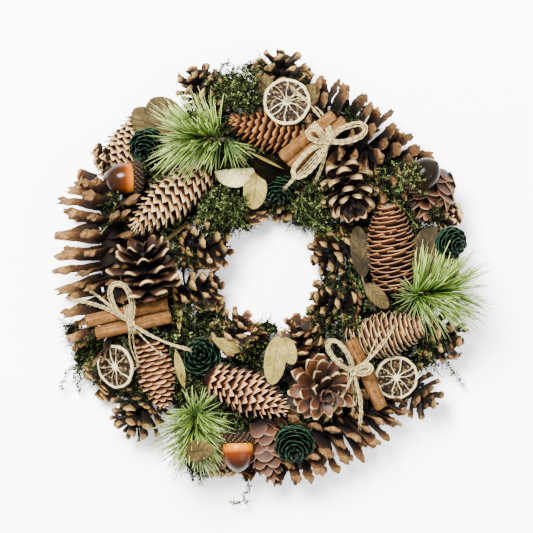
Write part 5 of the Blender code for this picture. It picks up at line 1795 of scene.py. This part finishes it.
def coverTuft(name, rng):
    low, high = nodeCorners[name].min(axis=0), nodeCorners[name].max(axis=0)
    for _ in range(mossPlan["tuftSprigs"]):
        x, y = rng.uniform(low[0], high[0]), rng.uniform(low[1], high[1])
        hit, normal, _, _ = nodeTrees[name].ray_cast(Vector((x, y, skyHeight)), down)
        if hit is not None:
            root = hit - normal * 1.5 - Vector((0, 0, 2))
            way = tiltedWay(rng, normal, 0.7)
            mossTufts[name].append((root, way, rng.uniform(5, 9), mossTone(rng, 0.2)))


def buildMoss():
    rng = random.Random(11)
    coverRing(rng)
    mats = newBag()
    for patch in mossPatches:
        *middle, wide, high, bright, also = (*patch, "past")[:6]
        size = (wide, high)
        if also == "past":
            layMat(mats, middle, size, rng)
            if (place(middle) - mossCentre).xy.length > mossPlan["rimStart"]:
                hangSprigs(place(middle), size, rng)
        fillPatch(middle, size, bright, also, rng)
    for name, sprigs in mossTufts.items():
        coverTuft(name, rng)
        bag = newBag()
        laySprigs(bag, sprigs, rng)
        makePiece(name + "_sprigs", bag, [mossDry], [name], smooth=False)
        print(name, len(sprigs), "sprigs")
    makePiece("moss_mats", mats, [mossDry], None, smooth=False)
    for number, sprigs in enumerate(mossQuarters):
        bag = newBag()
        laySprigs(bag, sprigs, rng)
        makePiece("moss_ring_" + str(number + 1), bag, [mossDry], None, smooth=False)
        print("moss quarter", number + 1, len(sprigs), "sprigs")


# Thin stems with a few leaflets, in picture points: those that hang past the rim fall towards the floor.
hangingWisps = (
    ((246, 476), (249, 491), (244, 499), (246, 506)), ((245, 502), (237, 506), (229, 506)),
    ((180, 452), (193, 466), (199, 478), (200, 487)), ((188, 466), (203, 478), (217, 474)),
    ((186, 458), (190, 472), (192, 482)), ((177, 453), (183, 462), (188, 466)),
    ((192, 462), (196, 472), (204, 480)), ((184, 454), (196, 462), (206, 466)),
    ((82, 364), (66, 372), (60, 383), (59, 391)), ((80, 366), (73, 378), (77, 393)),
    ((438, 350), (450, 366), (458, 377), (466, 386)), ((440, 354), (455, 358), (463, 355)),
    ((216, 74), (223, 63), (229, 60)), ((245, 74), (247, 66), (246, 60)),
)
lyingStems = (
    ((214, 205), (222, 210), (238, 217), (254, 235)), ((128, 208), (117, 219), (108, 226), (101, 234)),
    ((301, 198), (306, 213), (317, 223), (330, 232), (339, 241)),
    ((384, 198), (396, 203), (406, 211), (419, 228)), ((349, 257), (351, 272), (359, 288), (364, 302)),
    ((256, 360), (257, 343), (264, 331), (276, 323)), ((250, 368), (254, 352), (257, 345)),
    ((118, 196), (124, 210), (120, 218)),
)


# A knot of small round leaflets, one unit across.
def leafletKnot(rng):
    points, quads = [], []
    for i in range(4):
        a = Vector(scatter(rng, 1, -0.3, 1)).normalized()
        b = a.orthogonal().normalized()
        spot = Vector(scatter(rng, 0.4, -0.3, 0.3))
        points += [spot, spot + a * 0.25 + b * 0.22, spot + a * 0.5, spot + a * 0.25 - b * 0.22]
        quads.append((4 * i, 4 * i + 1, 4 * i + 2, 4 * i + 3))
    return np.array([tuple(p) for p in points]), quads


def layWisp(bag, path, radius, tone, gap, size, rng):
    path = smoothPath(path, 1.6)
    layTube(bag, path, np.linspace(radius, radius * 0.5, len(path)), 4, tone, reachRange=(0.5, 0.9))
    for i in range(2, len(path), gap):
        for _ in range(rng.randint(1, 3)):
            knot, quads = leafletKnot(rng)
            shift = np.array(scatter(rng, 1, -0.5, 0.5)) * size * 0.7
            pour(bag, knot * size * rng.uniform(0.7, 1.4) + path[i] + shift, quads,
                 paintOf(len(knot), 0.9, 0.0, tone * rng.uniform(0.5, 1.3)))


def buildWisps():
    rng = random.Random(29)
    bag = newBag()
    for wisp in hangingWisps:
        path = [place(p, 26 - 14 * i / (len(wisp) - 1)) for i, p in enumerate(wisp)]
        layWisp(bag, path, 0.5, 0.12, 1, 3.0, rng)
    for stem in lyingStems:
        path = []
        for p in stem:
            spot = place(p)
            spot.z = under(spot.x, spot.y)[0].z + 6
            if path:
                spot.z = max(spot.z, path[-1].z - 8)
            path.append(spot)
        layWisp(bag, path, 0.55, 0.8, 4, 1.8, rng)
    makePiece("moss_wisps", bag, [mossDry], None, smooth=False)


# Loose scales that fill gaps: middle, half sizes in points, heading, how many, length, height and look.
scaleBits = (
    ((256, 212), (8, 7), (1, 10), 12, 14, 30, "stubs"), ((98, 372), (13, 10), (-10, 7), 16, 14, 26, "stubs"),
    ((106, 392), (9, 8), (-9, 10), 10, 13, 20, "stubs"), ((222, 471), (20, 5), (-2, 10), 40, 10, 22, "cream"),
    ((250, 474), (9, 5), (2, 10), 12, 13, 22, "tan"), ((452, 213), (11, 11), (9, -5), 70, 8, 44, "cream"),
    ((264, 70), (7, 6), (-5, -10), 8, 13, 44, "stubs"), ((304, 76), (6, 6), (5, -10), 7, 13, 44, "stubs"),
    ((214, 306), (8, 7), (10, 2), 9, 13, 24, "stubs"), ((258, 338), (9, 6), (0, -10), 8, 12, 26, "warmDark"),
    ((318, 316), (7, 7), (-8, -4), 8, 12, 24, "stubs"), ((324, 238), (8, 8), (-8, 2), 8, 13, 26, "stubs"),
    ((88, 176), (7, 5), (-10, -3), 4, 20, 44, "warmDark"),
    ((99, 156), (6, 11), (-10, 1), 34, 8, 42, "cream"),
    ((130, 391), (8, 6), (-6, -10), 9, 14, 24, "stubs"), ((340, 229), (8, 5), (-6, 4), 8, 13, 34, "stubs"),
    ((190, 262), (12, 4), (10, 0), 9, 13, 30, "stubs"),
)


looseShingle = {"form": shingleForm, "wide": 4.2, "thick": 0.9, "crumple": 0.3, "ragged": 0.3}


def buildBits():
    for number, (middle, size, heading, count, length, height, look) in enumerate(scaleBits):
        rng = random.Random("bits" + str(number))
        plan = openScales.get(look, looseShingle)
        bag = newBag()
        for _ in range(count):
            angle, share = rng.uniform(0, 2 * math.pi), math.sqrt(rng.random())
            start = placeIn(middle, size, share, angle, height + rng.uniform(-9, 3))
            ahead = headingOf(heading, rng.uniform(-8, 30))
            side = leftOf(ahead).normalized()
            axes = shaken(rng, ahead, side, ahead.cross(side), 24)
            long = length * rng.uniform(0.75, 1.15)
            layPlate(bag, plan, start - axes[0] * long / 2, axes, long, min(plan["wide"], 0.4 * long), rng,
                     thick=0.8, ragged=0.5)
        makePiece("scale_bits_" + str(number + 1), bag, [scaleMaterials[look]], None,
                  crease=32 if plan.get("angular") else None)


buildMoss()
buildWisps()
buildBits()
print("stage: moss")

floorMesh = bpy.data.meshes.new("floor")
floorMesh.from_pydata([(-6, -6, 0), (6, -6, 0), (6, 6, 0), (-6, 6, 0)], [], [(0, 1, 2, 3)])
floor = addObject("floor", floorMesh)
floor.location.z = -0.0005
floorMesh.materials.append(newMaterial("studio_paper", {"Base Color": (0.98, 0.98, 0.98, 1), "Roughness": 0.9}))


def addLight(name, spot, target, size, power, colour):
    data = bpy.data.lights.new(name, "AREA")
    data.energy = power
    data.size = size
    data.color = colour
    lamp = addObject(name, data)
    lamp.location = spot
    lamp.rotation_euler = (Vector(target) - Vector(spot)).to_track_quat("-Z", "Y").to_euler()


addLight("key", (-0.5, 0.8, 2.0), (0, 0, 0.05), 0.8, 460, (1.0, 0.985, 0.96))
addLight("fill", (1.2, -0.6, 1.6), (0, 0, 0.05), 1.6, 50, (0.97, 0.985, 1.0))

world = bpy.data.worlds.new("studio")
bpy.context.scene.world = world
world.use_nodes = True
world.node_tree.nodes["Background"].inputs[0].default_value = (1, 1, 1, 1)
world.node_tree.nodes["Background"].inputs[1].default_value = 1.9

cameraHeight = 3.0
focusHeight = 0.055
cameraData = bpy.data.cameras.new("camera")
cameraData.lens_unit = "FOV"
cameraData.angle = 2 * math.atan(imageSide * mmPerPoint * metres / 2 / (cameraHeight - focusHeight))
camera = addObject("camera", cameraData)
camera.location = place((imageSide / 2, imageSide / 2)) * metres + Vector((0, 0, cameraHeight))
bpy.context.scene.camera = camera
print("stage: light and camera")
